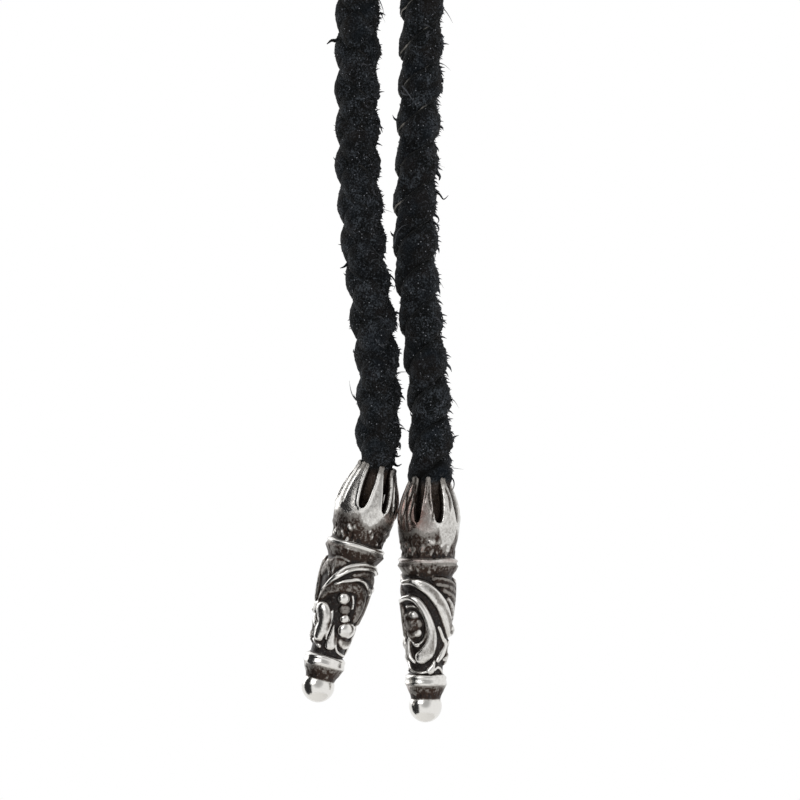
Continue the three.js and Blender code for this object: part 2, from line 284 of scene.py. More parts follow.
def silverMaterial(name, stain, haze):  # cast silver: high places polished, brown-black oxide in the low ones
    material, tree = newMaterial(name)
    place = add(tree, "ShaderNodeTexCoord").outputs["Object"]
    oxide = add(tree, readNode, attribute_name="oxide").outputs["Fac"]
    brown = add(tree, readNode, attribute_name="stain").outputs["Fac"]
    streaked = add(tree, "ShaderNodeMapping", {0: place, "Scale": (1.0, 1.0, 0.8)})
    grain = {}
    for kind, where, detail, roughness in (("grime", streaked, 4.0, 0.65), ("stain", place, 4.0, 0.65),
                                           ("haze", place, 6.0, 0.75), ("pit", place, 4.0, 0.7)):
        grain[kind] = add(tree, noiseNode, {"Vector": where, "Scale": 1 / (silver[kind + "Size"] * mm),
                                            "Detail": detail, "Roughness": roughness})
    grime = add(tree, mapRange, {"Value": grain["grime"], "From Min": 0.3, "From Max": 0.7,
                                 "To Min": -0.15, "To Max": 0.15})
    held = add(tree, mapRange, {"Value": oxide, "To Max": 2.6})  # no grime where it is bare
    depth = add(tree, math1, {0: grime, 1: held, 2: oxide}, operation="MULTIPLY_ADD")
    film = {}
    for kind, thin, full in silver["films"]:
        film[kind] = add(tree, mapRange, {"Value": depth, "From Min": thin, "From Max": full},
                         interpolation_type="SMOOTHSTEP")
    patch = add(tree, math1, {0: brown, 1: stain, 2: grain["stain"]}, operation="MULTIPLY_ADD")
    patch = add(tree, mapRange, {"Value": patch, "From Min": 0.72, "From Max": 1.15, "To Max": 0.9})
    dull = add(tree, mapRange, {"Value": grain["haze"], "From Min": 0.44, "From Max": 0.66,
                                "To Max": haze})  # cast skin left on
    cutoff = add(tree, mapRange, {"Value": oxide, "From Min": -0.3, "From Max": 0.0})
    dull = add(tree, math1, {0: dull, 1: cutoff}, operation="MULTIPLY")  # oxide below zero is burnished metal
    dull = add(tree, math1, {0: dull, 1: film["satin"]}, operation="MAXIMUM")
    specks = add(tree, mapRange, {"Value": grain["pit"], "From Min": 0.57, "From Max": 0.64})
    worn = add(tree, mapRange, {"Value": dull, "To Max": 0.8})
    specks = add(tree, math1, {0: specks, 1: worn}, operation="MULTIPLY")
    crumbs = add(tree, mapRange, {"Value": grain["pit"], "From Min": 0.42, "From Max": 0.34, "To Max": 0.45})
    crumbs = add(tree, math1, {0: crumbs, 1: film["oxide"]}, operation="MULTIPLY")  # grains that shine through

    colour = linear(silver["polish"])
    for mask, tint in ((patch, "tarnish"), (dull, "satin"), *((film[kind], kind) for kind in film),
                       (specks, "umber"), (crumbs, "satin")):
        colour = add(tree, mixNode, {0: mask, 6: colour, 7: linear(silver[tint])}, data_type="RGBA").outputs[2]
    rough = add(tree, mapRange, {"Value": dull, "To Min": 0.15, "To Max": 0.38})
    metal = add(tree, mapRange, {"Value": film["oxide"], "To Min": 1.0, "To Max": 0.5})
    pits = add(tree, mapRange, {"Value": dull, "To Min": 0.15, "To Max": 1.0})
    pits = add(tree, math1, {0: grain["pit"], 1: pits}, operation="MULTIPLY")
    bump = add(tree, "ShaderNodeBump", {"Height": pits, "Strength": 0.8, "Distance": silver["pitDepth"] * mm})
    shader = add(tree, "ShaderNodeBsdfPrincipled", {
        "Base Color": colour, "Roughness": rough, "Metallic": metal, "Normal": bump})
    add(tree, "ShaderNodeOutputMaterial", {"Surface": shader})
    return material


suedeFinish = {
    # edge colours: the cut edge's own lighter tone together with a painted highlight, strongest on the right
    # cord
    "left": suedeMaterial("Black suede, brushed split leather", "#2a2928", tails["left"]["places"][-1][1]),
    "right": suedeMaterial("Black suede, with worn cut edges", "#8b8781", tails["right"]["places"][-1][1]),
}
silverFinish = {
    "left": silverMaterial("Cast silver, oxidised and polished back", 0.12, 0.24),
    "right": silverMaterial("Cast silver, oxidised, polished back and tarnished brown", 1.15, 0.58),
    "keeper": silverMaterial("Turned silver, lightly tarnished", 0.1, 0.2),
}
print("materials done")


# The braid: four suede laces, two of each hand, that pass over and under each other along a route

braid = {
    "Pass over front": 1.0,  # the hand of the laces that lie on top at the front: 1 rises to the right
    "Lead": 8.4, "Band height": 0.0, "Turn": 0.0,  # length of a whole turn, and where the turns begin
    "Mean radius": 1.5, "Rise": 0.45, "Dominance": 0.28,  # out and in as laces cross; more for one hand
    "Lace width": 3.95, "Lace thickness": 1.05, "Crown radius": 2.3, "Unevenness": 0.45, "Nap height": 0.15,
    "Squeeze start": 1000.0, "Squeeze end": 1001.0, "Squeezed share": 0.7,
    "Step": 0.16, "Section points": 30, "Least radius": 1.6,  # hairs grow only outside the last
    "Tuft per mm2": 7.6, "Tuft length": 0.37, "Tuft thickness": 0.11,
    "Flake per mm2": 1.2, "Flake length": 0.5, "Flake thickness": 0.21,
    "Fibre per mm2": 0.05, "Fibre length": 1.3, "Fibre thickness": 0.1,
    "Shaggy side": (0.0, 0.0, 0.0), "Seed": 1,
}
laceLengths = ["Lead", "Band height", "Mean radius", "Rise", "Dominance", "Lace width", "Lace thickness",
               "Crown radius", "Squeeze start", "Squeeze end", "Unevenness", "Step"]
laceFloats = ["Pass over front", "Turn", "Squeezed share"] + laceLengths
napLengths = ["Nap height", "Least radius"]
hairKinds = {"Tuft": (0.25, 1), "Flake": (1.3, 4), "Fibre": (1.8, 6)}  # curl and segments of each kind
hairLengths = [kind + part for kind in hairKinds for part in (" length", " thickness")]
lace = {
    "fillet": 0.45, "filletPoints": 4,  # the fillet is a share of the thickness
    "wanderScale": 260.0,  # bends in a metre
    "lumps": [(0.9, 0.6, 0.0), (0.3, 0.5, 0.0), (0.5, 0.1, 2.6)],  # size, share of the nap, more where shaggy
}


def laceTree():  # one lace of the braid, swept along the path that it takes round the route
    tree, given, out = geometryTree("Lace of a braid", [("Route", "Geometry"), ("Front", "Vector"),
                                                        ("Section points", "Int"), ("Hand", "Float"),
                                                        ("Start", "Float")]
                                    + [(label, "Float") for label in laceFloats])
    path = add(tree, "GeometryNodeMeshToCurve", {"Mesh": given["Route"]})
    path = add(tree, "GeometryNodeResampleCurve", {"Curve": path, "Length": given["Step"]}, mode="LENGTH")
    along = add(tree, "GeometryNodeSplineParameter").outputs["Length"]
    turns = add(tree, math1, {0: along, 1: given["Band height"]}, operation="SUBTRACT")
    turns = add(tree, math1, {0: turns, 1: given["Lead"]}, operation="DIVIDE")
    swing = add(tree, math1, {0: turns, 1: 2 * math.pi, 2: math.pi / 2}, operation="MULTIPLY_ADD")
    angle = add(tree, math1, {0: swing, 1: given["Hand"], 2: given["Start"]}, operation="MULTIPLY_ADD")
    over = add(tree, math1, {0: angle, 1: 2.0}, operation="MULTIPLY")  # twice a turn it goes over and under
    over = add(tree, math1, {0: over}, operation="COSINE")
    over = add(tree, math1, {0: over, 1: given["Rise"]}, operation="MULTIPLY")
    over = add(tree, math1, {0: over, 1: given["Dominance"]}, operation="SUBTRACT")
    for factor in ("Hand", "Pass over front"):
        over = add(tree, math1, {0: over, 1: given[factor]}, operation="MULTIPLY")
    lift = add(tree, math1, {0: over, 1: given["Rise"]}, operation="DIVIDE")
    radius = add(tree, math1, {0: given["Mean radius"], 1: over}, operation="SUBTRACT")
    squeeze = add(tree, mapRange, {
        "Value": along, "From Min": given["Squeeze start"], "From Max": given["Squeeze end"],
        "To Min": 1.0, "To Max": given["Squeezed share"]}, interpolation_type="SMOOTHSTEP")
    radius = add(tree, math1, {0: radius, 1: squeeze}, operation="MULTIPLY")
    tangent = add(tree, "GeometryNodeInputTangent")
    across = add(tree, math3, {0: given["Front"], 1: tangent}, operation="CROSS_PRODUCT")
    across = add(tree, math3, {0: across}, operation="NORMALIZE")
    front = add(tree, math3, {0: tangent, 1: across}, operation="CROSS_PRODUCT")
    seen = add(tree, math1, {0: angle, 1: given["Turn"]}, operation="ADD")
    parts = [add(tree, math3, {0: way, "Scale": add(tree, math1, {0: seen}, operation=wave)}, operation="SCALE")
             for way, wave in ((across, "COSINE"), (front, "SINE"))]
    outward = add(tree, math3, {0: parts[0], 1: parts[1]}, operation="ADD")
    # under holds how far a lace lies below its mean radius; the suede shader paints shade with it
    for label, value, kind in (("outward", outward, "FLOAT_VECTOR"), ("squeeze", squeeze, "FLOAT"),
                               ("under", lift, "FLOAT")):
        path = add(tree, storeNode, {"Geometry": path, "Name": label, "Value": value}, data_type=kind,
                   domain="POINT")
    offset = add(tree, math3, {0: outward, "Scale": radius}, operation="SCALE")
    path = add(tree, moveNode, {"Geometry": path, "Offset": offset})
    wander = add(tree, noiseNode, {"Scale": lace["wanderScale"], "Detail": 1.0})
    wander = add(tree, math3, {0: wander.outputs["Color"], 1: (0.5, 0.5, 0.5)}, operation="SUBTRACT")
    wander = add(tree, math3, {0: wander, "Scale": given["Unevenness"]}, operation="SCALE")
    path = add(tree, moveNode, {"Geometry": path, "Offset": wander})
    away = add(tree, "GeometryNodeInputNamedAttribute", {"Name": "outward"}, data_type="FLOAT_VECTOR")
    path = add(tree, "GeometryNodeSetCurveNormal", {"Curve": path, "Normal": away}, mode="FREE")

    section = add(tree, "GeometryNodeCurvePrimitiveQuadrilateral", {
        "Width": given["Lace thickness"], "Height": given["Lace width"]})
    fillet = add(tree, math1, {0: given["Lace thickness"], 1: lace["fillet"]}, operation="MULTIPLY")
    section = add(tree, "GeometryNodeFilletCurve", {"Curve": section, "Count": lace["filletPoints"],
                                                    "Radius": fillet}, mode="POLY")
    section = add(tree, "GeometryNodeResampleCurve", {"Curve": section, "Count": given["Section points"]})
    side = add(tree, "ShaderNodeSeparateXYZ", {0: add(tree, "GeometryNodeInputPosition")}).outputs["Y"]
    edge = add(tree, math1, {0: side, 1: given["Lace width"]}, operation="DIVIDE")
    section = add(tree, storeNode, {"Geometry": section, "Name": "across", "Value": edge},
                  data_type="FLOAT", domain="POINT")
    drop = add(tree, math1, {0: side, 1: side}, operation="MULTIPLY")  # the lace is crowned across its width
    drop = add(tree, math1, {0: drop, 1: given["Crown radius"]}, operation="DIVIDE")
    drop = add(tree, math1, {0: drop, 1: -0.5}, operation="MULTIPLY")
    section = add(tree, moveNode, {"Geometry": section,
                                   "Offset": add(tree, "ShaderNodeCombineXYZ", {"X": drop})})
    narrow = add(tree, "GeometryNodeInputNamedAttribute", {"Name": "squeeze"}, data_type="FLOAT")
    swept = add(tree, "GeometryNodeCurveToMesh", {"Curve": path, "Profile Curve": section, "Scale": narrow,
                                                  "Fill Caps": True})
    tree.links.new(swept.outputs[0], out.inputs[0])
    return tree


hairs = {
    "facing": 0.3,  # least share of a face's normal that points out of the braid
    "mouthShare": 0.74, "frayed": 3.0,  # none deeper in the socket than this squeeze, and more at its mouth
    "patchScale": 700.0, "patchLeast": 0.1,  # patches in a metre
    "sideShift": 0.4, "sideLeast": 0.12, "lean": 0.9,
    "shortest": 0.25, "lengthPower": 1.6, "palePower": 2.5, "paleThickness": 0.1, "taper": 0.92,
}


def hairTree():  # short tufts and long fibres on the outer faces of the laces
    tree, given, out = geometryTree("Loose hairs", [
        ("Laces", "Geometry"), ("Route", "Geometry"), ("Shaggy side", "Vector"), ("Per mm2", "Float"),
        ("Length", "Float"), ("Thickness", "Float"), ("Curl", "Float"), ("Least radius", "Float"),
        ("Segments", "Int"), ("Seed", "Int")])
    normal = add(tree, "GeometryNodeInputNormal")
    away = add(tree, "GeometryNodeInputNamedAttribute", {"Name": "outward"}, data_type="FLOAT_VECTOR")
    facing = add(tree, math3, {0: normal, 1: away}, operation="DOT_PRODUCT").outputs["Value"]
    distance = add(tree, "GeometryNodeProximity", {"Geometry": given["Route"]}, target_element="EDGES")
    narrowed = add(tree, "GeometryNodeInputNamedAttribute", {"Name": "squeeze"}, data_type="FLOAT")
    patches = add(tree, noiseNode, {"Scale": hairs["patchScale"], "Detail": 1.0})
    patches = add(tree, mapRange, {"Value": patches, "From Min": 0.42, "From Max": 0.62,
                                   "To Min": hairs["patchLeast"], "To Max": 1.0})
    frayed = add(tree, mapRange, {"Value": narrowed, "From Min": 0.8, "From Max": 0.99,
                                  "To Min": hairs["frayed"], "To Max": 1.0})  # the nap stands up at the mouth
    side = add(tree, math3, {0: normal, 1: given["Shaggy side"]}, operation="DOT_PRODUCT").outputs["Value"]
    side = add(tree, math1, {0: side, 1: hairs["sideShift"]}, operation="ADD")
    side = add(tree, math1, {0: side, 1: hairs["sideLeast"]}, operation="MAXIMUM")
    side = add(tree, math1, {0: side, 1: frayed}, operation="MULTIPLY")
    limits = [add(tree, math1, {0: value, 1: least}, operation="GREATER_THAN") for value, least in (
        (facing, hairs["facing"]), (distance.outputs["Distance"], given["Least radius"]),
        (narrowed, hairs["mouthShare"]))]
    density = add(tree, math1, {0: given["Per mm2"], 1: 1 / mm**2}, operation="MULTIPLY")
    for factor in (limits[0], limits[1], patches, side, limits[2]):
        density = add(tree, math1, {0: density, 1: factor}, operation="MULTIPLY")
    spread = add(tree, "GeometryNodeDistributePointsOnFaces", {"Mesh": given["Laces"], "Density": density,
                                                               "Seed": given["Seed"]})
    lean = add(tree, randomNode, {0: [-hairs["lean"]] * 3, 1: [hairs["lean"]] * 3, "Seed": given["Seed"]},
               data_type="FLOAT_VECTOR")
    lean = add(tree, math3, {0: spread.outputs["Normal"], 1: lean}, operation="ADD")
    turned = add(tree, "FunctionNodeAlignRotationToVector", {"Vector": lean}, axis="Z")
    length = add(tree, randomNode, {2: hairs["shortest"], 3: 1.0, "Seed": given["Seed"]}, data_type="FLOAT")
    length = add(tree, math1, {0: length.outputs[1], 1: hairs["lengthPower"]}, operation="POWER")
    length = add(tree, math1, {0: length, 1: given["Length"]}, operation="MULTIPLY")

    bend = add(tree, "GeometryNodeCurveQuadraticBezier", {  # a hair of length one, with its root in the lace
        "Resolution": given["Segments"],
        "Start": (0.0, 0.0, -0.1), "Middle": (0.0, 0.0, 0.6),
        "End": add(tree, "ShaderNodeCombineXYZ", {"X": given["Curl"], "Y": 0.0, "Z": 1.0})})
    thin = add(tree, math1, {0: add(tree, "GeometryNodeSplineParameter").outputs["Factor"],
                             1: -hairs["taper"], 2: 1.0}, operation="MULTIPLY_ADD")
    around = add(tree, "GeometryNodeCurvePrimitiveCircle", {"Resolution": 3, "Radius": 1.0})
    ratio = add(tree, math1, {0: given["Thickness"], 1: given["Length"]}, operation="DIVIDE")
    thin = add(tree, math1, {0: thin, 1: ratio}, operation="MULTIPLY")
    hair = add(tree, "GeometryNodeCurveToMesh", {"Curve": bend, "Profile Curve": around, "Scale": thin,
                                                 "Fill Caps": True})
    placed = add(tree, "GeometryNodeInstanceOnPoints", {
        "Points": spread, "Instance": hair, "Rotation": turned, "Scale": length})
    pale = add(tree, randomNode, {2: 0.0, 3: 1.0, "Seed": given["Seed"]}, data_type="FLOAT")
    pale = add(tree, math1, {0: pale.outputs[1], 1: hairs["palePower"]}, operation="POWER")
    fine = add(tree, math1, {0: hairs["paleThickness"] * mm, 1: given["Thickness"]},
               operation="DIVIDE")  # thick flakes stay dark
    pale = add(tree, math1, {0: pale, 1: fine}, operation="MULTIPLY")
    placed = add(tree, storeNode, {"Geometry": placed, "Name": "pale", "Value": pale},
                 data_type="FLOAT", domain="INSTANCE")
    tree.links.new(add(tree, "GeometryNodeRealizeInstances", {0: placed}).outputs[0], out.inputs[0])
    return tree


def braidTree(laceNodes, hairNodes):  # four laces with their nap and their hairs
    labels = laceFloats + napLengths + hairLengths + [kind + " per mm2" for kind in hairKinds]
    tree, given, out = geometryTree("Braid of four laces", [
        ("Route", "Geometry"), ("Front", "Vector"), ("Shaggy side", "Vector"), ("Section points", "Int"),
        ("Seed", "Int"), ("Finish", "Material")] + [(label, "Float") for label in labels])
    laces = add(tree, "GeometryNodeJoinGeometry")
    for hand in (1.0, -1.0):
        for start in (0.0, math.pi):
            shared = {label: given[label] for label in ["Route", "Front", "Section points"] + laceFloats}
            one = add(tree, "GeometryNodeGroup", {"Hand": hand, "Start": start, **shared}, node_tree=laceNodes)
            tree.links.new(one.outputs[0], laces.inputs[0])
    nap = add(tree, "GeometryNodeSetShadeSmooth", {0: laces})
    normal = add(tree, "GeometryNodeInputNormal")
    shaggy = add(tree, math3, {0: normal, 1: given["Shaggy side"]}, operation="DOT_PRODUCT").outputs["Value"]
    shaggy = add(tree, math1, {0: shaggy, 1: 0.0}, operation="MAXIMUM")
    for size, share, more in lace["lumps"]:
        height = add(tree, noiseNode, {"Scale": 1 / (size * mm), "Detail": 1.0})
        height = add(tree, math1, {0: height, 1: 0.5}, operation="SUBTRACT")
        height = add(tree, math1, {0: height, 1: given["Nap height"]}, operation="MULTIPLY")
        share = add(tree, math1, {0: shaggy, 1: 2 * more, 2: 2 * share}, operation="MULTIPLY_ADD")
        height = add(tree, math1, {0: height, 1: share}, operation="MULTIPLY")
        height = add(tree, math3, {0: normal, "Scale": height}, operation="SCALE")
        nap = add(tree, moveNode, {"Geometry": nap, "Offset": height})
    whole = add(tree, "GeometryNodeJoinGeometry", {0: nap})
    for kind, (curl, segments) in hairKinds.items():
        grown = add(tree, "GeometryNodeGroup", {
            "Laces": nap, "Curl": curl, "Segments": segments, "Per mm2": given[kind + " per mm2"],
            "Length": given[kind + " length"], "Thickness": given[kind + " thickness"],
            **{label: given[label] for label in ("Route", "Shaggy side", "Least radius", "Seed")},
        }, node_tree=hairNodes)
        tree.links.new(grown.outputs[0], whole.inputs[0])
    real = add(tree, "GeometryNodeRealizeInstances", {0: whole})
    dressed = add(tree, "GeometryNodeSetMaterial", {"Geometry": real, "Material": given["Finish"]})
    tree.links.new(dressed.outputs[0], out.inputs[0])
    return tree


braidNodes = braidTree(laceTree(), hairTree())
routeStep = 0.25


def makeBraid(name, points, front, finish, **changes):  # a braid along the points, as one plain mesh
    values = {**braid, **changes}
    for label in laceLengths + napLengths + hairLengths:
        values[label] *= mm
    values.update({"Front": front, "Finish": finish})
    made = madeByNodes(name, routeObject(smoothRoute(points, routeStep)), braidNodes, values)
    print(name, "done,", len(made.data.polygons), "faces")
    return made


def routeLength(points):  # in millimetres along the curve
    route = smoothRoute(points, routeStep)
    return float(np.linalg.norm(np.diff(route, axis=0), axis=1).sum())


strands = {  # suede ends that have worked loose
    "step": 0.15, "sides": 4, "taper": 0.85, "taperPower": 1.5,
    "left": [  # thickness at the root, share of fibre colour, points
        (0.6, 0.0, [(-4.9, -113.2, -244.3), (-5.6, -113.5, -244.8), (-6.1, -113.6, -244.8),
                    (-6.6, -113.7, -245.2)]),
        (0.4, 0.0, [(-1.7, -113.6, -252.8), (-1.2, -113.9, -253.4), (-0.9, -114.0, -254.0),
                    (-0.7, -114.0, -254.6)]),
        (0.4, 0.0, [(-4.1, -113.4, -268.2), (-4.7, -113.6, -268.8), (-5.2, -113.7, -269.0)]),
        (0.22, 0.0, [(-0.4, -113.5, -269.4), (0.3, -113.9, -269.9), (0.7, -114.0, -270.6),
                     (0.5, -114.0, -271.3)]),
        (0.4, 0.0, [(0.1, -113.5, -288.6), (0.8, -113.8, -289.0), (1.25, -113.9, -288.9)]),
        (0.5, 0.0, [(-0.4, -113.4, -289.3), (0.4, -113.7, -289.7), (0.9, -113.8, -290.0),
                    (1.35, -113.9, -289.8)]),
    ],
    "right": [
        (0.6, 0.0, [(4.3, -113.6, -258.5), (5.0, -113.9, -258.8), (5.4, -114.0, -259.3),
                    (5.3, -114.0, -259.7)]),
        (0.34, 0.0, [(4.3, -113.6, -260.6), (5.0, -114.0, -260.9), (5.4, -114.2, -261.2),
                     (5.8, -114.2, -261.7), (6.3, -114.3, -261.3)]),
        (0.3, 0.2, [(4.2, -113.8, -263.1), (5.0, -114.0, -263.4), (5.3, -114.1, -263.9),
                    (5.1, -114.1, -264.3)]),
        (0.3, 0.2, [(4.3, -113.8, -263.9), (5.0, -114.0, -264.3), (5.3, -114.1, -264.9),
                    (5.0, -114.1, -265.3)]),
        (0.26, 0.0, [(4.6, -113.8, -273.6), (5.4, -114.0, -273.9), (5.7, -114.1, -274.4),
                     (5.3, -114.1, -274.9)]),
        (0.2, 0.0, [(5.6, -114.4, -291.3), (6.2, -114.6, -291.1), (6.7, -114.7, -291.3),
                    (6.9, -114.7, -291.8), (6.8, -114.6, -292.4), (6.3, -114.8, -292.8)]),
        (0.2, 0.9, [(1.4, -114.4, -249.7), (1.8, -115.0, -250.2), (2.2, -115.4, -250.8),
                    (2.7, -115.5, -251.5)]),
        (0.16, 0.9, [(1.3, -114.6, -250.4), (1.8, -115.1, -250.7), (2.3, -115.4, -250.6)]),
        (0.16, 0.7, [(0.6, -114.0, -266.4), (0.8, -114.6, -265.4), (1.3, -115.2, -264.7),
                     (2.0, -115.5, -264.4)]),
    ],
}


def addStrands(made, side):  # thin tapering rods, with one end in the cord
    shape = bmesh.new()
    shape.from_mesh(made.data)
    old = len(shape.faces)
    pale = shape.verts.layers.float["pale"]
    sides = strands["sides"]
    for thickness, tone, points in strands[side]:
        line = smoothRoute(points, strands["step"])
        last = len(line) - 1
        rings = []
        for number, centre in enumerate(line):
            ahead = Vector(line[min(number + 1, last)] - line[max(number - 1, 0)]).normalized()
            across = ahead.cross((0, 1, 0)).normalized()
            thinned = 1 - strands["taper"] * (number / last)**strands["taperPower"]
            ring = []
            for turn in range(sides):
                spoke = Matrix.Rotation(turn * 2 * math.pi / sides, 3, ahead) @ across
                ring.append(shape.verts.new(Vector(centre) * mm + spoke * (thickness / 2 * thinned * mm)))
                ring[-1][pale] = tone
            rings.append(ring)
        for lower, upper in zip(rings, rings[1:]):
            for a in range(sides):
                b = (a + 1) % sides
                shape.faces.new((lower[a], lower[b], upper[b], upper[a])).smooth = True
        shape.faces.new(rings[0][::-1])
        shape.faces.new(rings[-1])
    shape.faces.ensure_lookup_table()
    for face in shape.faces[old:]:  # the braid's finish isn't always in the first slot
        face.material_index = shape.faces[0].material_index
    shape.to_mesh(made.data)
    shape.free()


for side, tail in tails.items():
    points = tailPoints(tail)
    mouth = routeLength(points) - socket["cordDepth"]
    made = makeBraid("tail_" + side, points, (0.0, -1.0, 0.0), suedeFinish[side], **{
        "Squeeze start": mouth - socket["squeezedOver"], "Squeeze end": mouth, **tail["braid"]})
    addStrands(made, side)
    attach(made, "root")
    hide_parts("tail_braid_" + side)
    tail["made"] = made

neck = {  # coarser than the tails, because it is ten times as long
    "front": (0.0, -0.88, 0.47),
    "braid": {"Step": 0.45, "Section points": 12, "Tuft per mm2": 0.5, "Flake per mm2": 0.1,
              "Fibre per mm2": 0.008, "Seed": 5},
}


def makeNeckLoop():  # both halves of the route in one run, from the keeper round the nape and back
    half = [np.array(p, float) for p in neckRoute]
    points = [p * [-1, 1, 1] for p in half[:0:-1]] + half
    made = makeBraid("neck_loop", points, neck["front"], suedeFinish["left"], **neck["braid"])
    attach(made, "root")
    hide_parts("neck_loop_braid")


makeNeckLoop()


# Cast tips: a bulb of eight petals round the cord's socket, a plain collar, a scrolled body, a ring and a ball

tip = {
    # Degrees round from the front, and share of the full width
    "slots": [(-7, 1.0), (38, 0.85), (94, 0.8), (143, 0.75), (185, 1.05), (232, 0.9), (270, 0.9), (307, 0.15)],
    "slotHalf": [(-0.5, 0.5), (0.5, 0.56), (1.6, 0.62), (2.6, 0.56), (3.3, 0.5), (3.8, 0.43), (4.1, 0.34),
                 (4.28, 0.24), (4.4, 0.0)],  # depth below the mouth, and half width of a full slot
    "slotRows": 44, "columns": 32, "innerColumns": 8, "wallColumns": 3,
    "petalTop": -0.5, "petalPoint": 0.5, "tipFall": 0.2, "tipFallOver": 0.4,
    "rim": 0.1, "rimAt": 0.17, "rimWidth": 0.13, "fillet": 0.14,
    "cavity": [(-0.5, 1.78), (0.8, 1.72), (3.0, 2.35), (6.1, 2.35)],  # depth and radius
    "cavityFloor": [(5.4, 1), (6.1, 1), (6.1, 0.7), (6.1, 0.35), (6.1, 0)],  # depth and share of that radius
    "profile": [  # smooth runs of depth below the mouth and radius, which meet at corners
        [(0, 2.1), (0.5, 2.33), (1, 2.52), (1.6, 2.76), (2.4, 3.02), (3.2, 3.2), (4.2, 3.31), (5.2, 3.27),
         (6.2, 3.12), (6.8, 2.95), (7.4, 2.82), (8.12, 2.76)],
        [(8.22, 2.95), (8.32, 3.14), (8.42, 3.19), (8.54, 3.15)],
        [(8.66, 3.05), (8.85, 3.12), (9.0, 3.24)],
        [(9.08, 3.2), (9.4, 3.0), (9.8, 2.75), (10.1, 2.6)],
        [(10.3, 2.54), (11, 2.6), (12, 2.62), (13, 2.57), (14, 2.47), (15, 2.35), (16, 2.19), (17, 2.02),
         (18, 1.88), (19, 1.79), (20.45, 1.75)],
        [(20.52, 1.82), (20.62, 2.05), (20.75, 2.17), (20.9, 2.2)],
        [(21.0, 2.15), (21.25, 2.2), (21.45, 2.25), (21.6, 2.22)],
        [(21.75, 2.1), (22.3, 1.86), (22.8, 1.66), (23.05, 1.6)],
        [(23.12, 1.54), (23.3, 1.62), (23.6, 1.715), (23.95, 1.75)],
    ],
    "ball": {"below": 23.95, "radius": 1.75, "rows": 18},
    "rowSteps": [(6.3, 0.12), (8.1, 0.1), (10.2, 0.06), (20.4, 0.075), (23.95, 0.085)],  # down to, in steps of
    "profileStep": 0.03, "blend": 0.05, "sharp": 50,
    "bodyRadius": 2.4, "bodyTop": 9.9,  # where the scrolls lie
    "waves": [(0.06, 2, 1), (0.04, 5, 2)],  # hand-filed edges: height, waves round the tip and start
    "wavesAt": [(6, 0), (7, 1), (10, 1), (11, 0), (20, 0), (21, 1), (22, 2), (23, 0)],
    "scrollStep": 0.3, "scrollMargin": 0.1, "beadHeight": 0.9,
    "wornTimes": 3, "wornFrom": 9.6, "wornTo": 20.4,  # edges rounded by wear
    "grooves": {  # casting lines down the petals: degrees, first and last depth, half width, share of oxide
        "lines": [
            (101, 0.6, 5.4, 0.15, 0.6), (110, 0.2, 4.8, 0.13, 0.8), (119, 1.0, 5.6, 0.17, 0.85),
            (130, 0.0, 4.6, 0.15, 0.9), (157, -0.3, 2.6, 0.1, 0.6), (166, 0.0, 3.4, 0.1, 0.55),
            (173, 1.4, 4.6, 0.12, 0.6), (57, 0.3, 4.8, 0.13, 0.6), (67, 0.0, 4.4, 0.17, 0.85),
            (212, 0.4, 3.6, 0.1, 0.6), (286, 0.6, 4.8, 0.12, 0.6)],
        "depth": 0.09, "waver": 2, "wavesPerMm": 1.7,
        "fadeIn": 0.5, "fadeOut": 0.9, "lipAt": 1.9, "lipWidth": 0.9,  # the raised lip, in half widths
    },
    "punches": {  # dark zones: first and last depth, how many marks each holds and how high they stand
        "zones": [(6.4, 8.0, 130, 0.5), (8.85, 10.0, 80, 0.3), (21.9, 22.9, 30, 0.22)],
        "least": 0.1, "most": 0.32, "squash": 0.7, "seed": 4,
    },
    "film": {  # oxide at each depth: 1 is black, 0 is bare and less is burnished
        "body": [(9.9, 0), (10.3, 1), (20.2, 1), (20.45, 0)],  # the scrolled body's share
        "bands": [(-0.5, 0.45), (0.6, 0.2), (4.8, 0.14), (5.6, 0.53), (8.1, 0.68), (8.2, 0.0), (8.55, 0.0),
                  (8.75, 0.45), (10, 0.8), (21.5, 0.0), (21.8, 0.45), (23.0, 0.8), (23.3, 0.0)],
        "bandFall": [1.1, 0.5, 0.4, 0.5, 2.4, 0.9, 0.4, 0.3],  # how far down each petal's polish runs
        "bandFallAt": [(4.4, 0), (5.2, 1), (7.4, 1), (8.0, 0)],
        "punched": 6, "punchHeight": 0.12,  # below this depth the marks' burrs are bare
        "rims": [(0.4, 0.2), (1.6, 0.9), (5.4, 0.9), (5.6, 0)], "rimHeight": 0.08,  # slots' rims worn bright
        "burnished": [(8.3, 0), (8.4, 0.15), (8.5, 0.15), (8.6, 0), (20.6, 0), (20.7, 0.2), (21.5, 0.2),
                      (21.7, 0), (23.1, 0), (23.2, 0.35)],
        "ball": -0.35, "wall": (0.2, 1.0), "inside": 1.0, "wallStain": 0.6,
        "stain": [(0, 1), (3, 1), (8.2, 0.8), (10.2, 0.8), (11, 0.1), (21, 0.1), (22, 0.7), (23, 0.7),
                  (23.2, 0)],
        "stainMean": 0.45, "stainSwing": 0.55, "stainFrom": 160, "stainSwingTo": 8,  # browner on one side
        "low": 0.9, "lowHeight": 0.34, "hollowTimes": 40, "hollowGain": 7,  # the ground of the scrolls
        "satin": 0.24, "bright": 0.4,  # a grey film on slopes, where the ornament holds less than the second
        "crestTimes": 14, "crestGain": 9, "crestLeast": -0.3, "crestMost": 0.6, "darkCrests": 0.4,
        "barest": -0.25,
    },
}
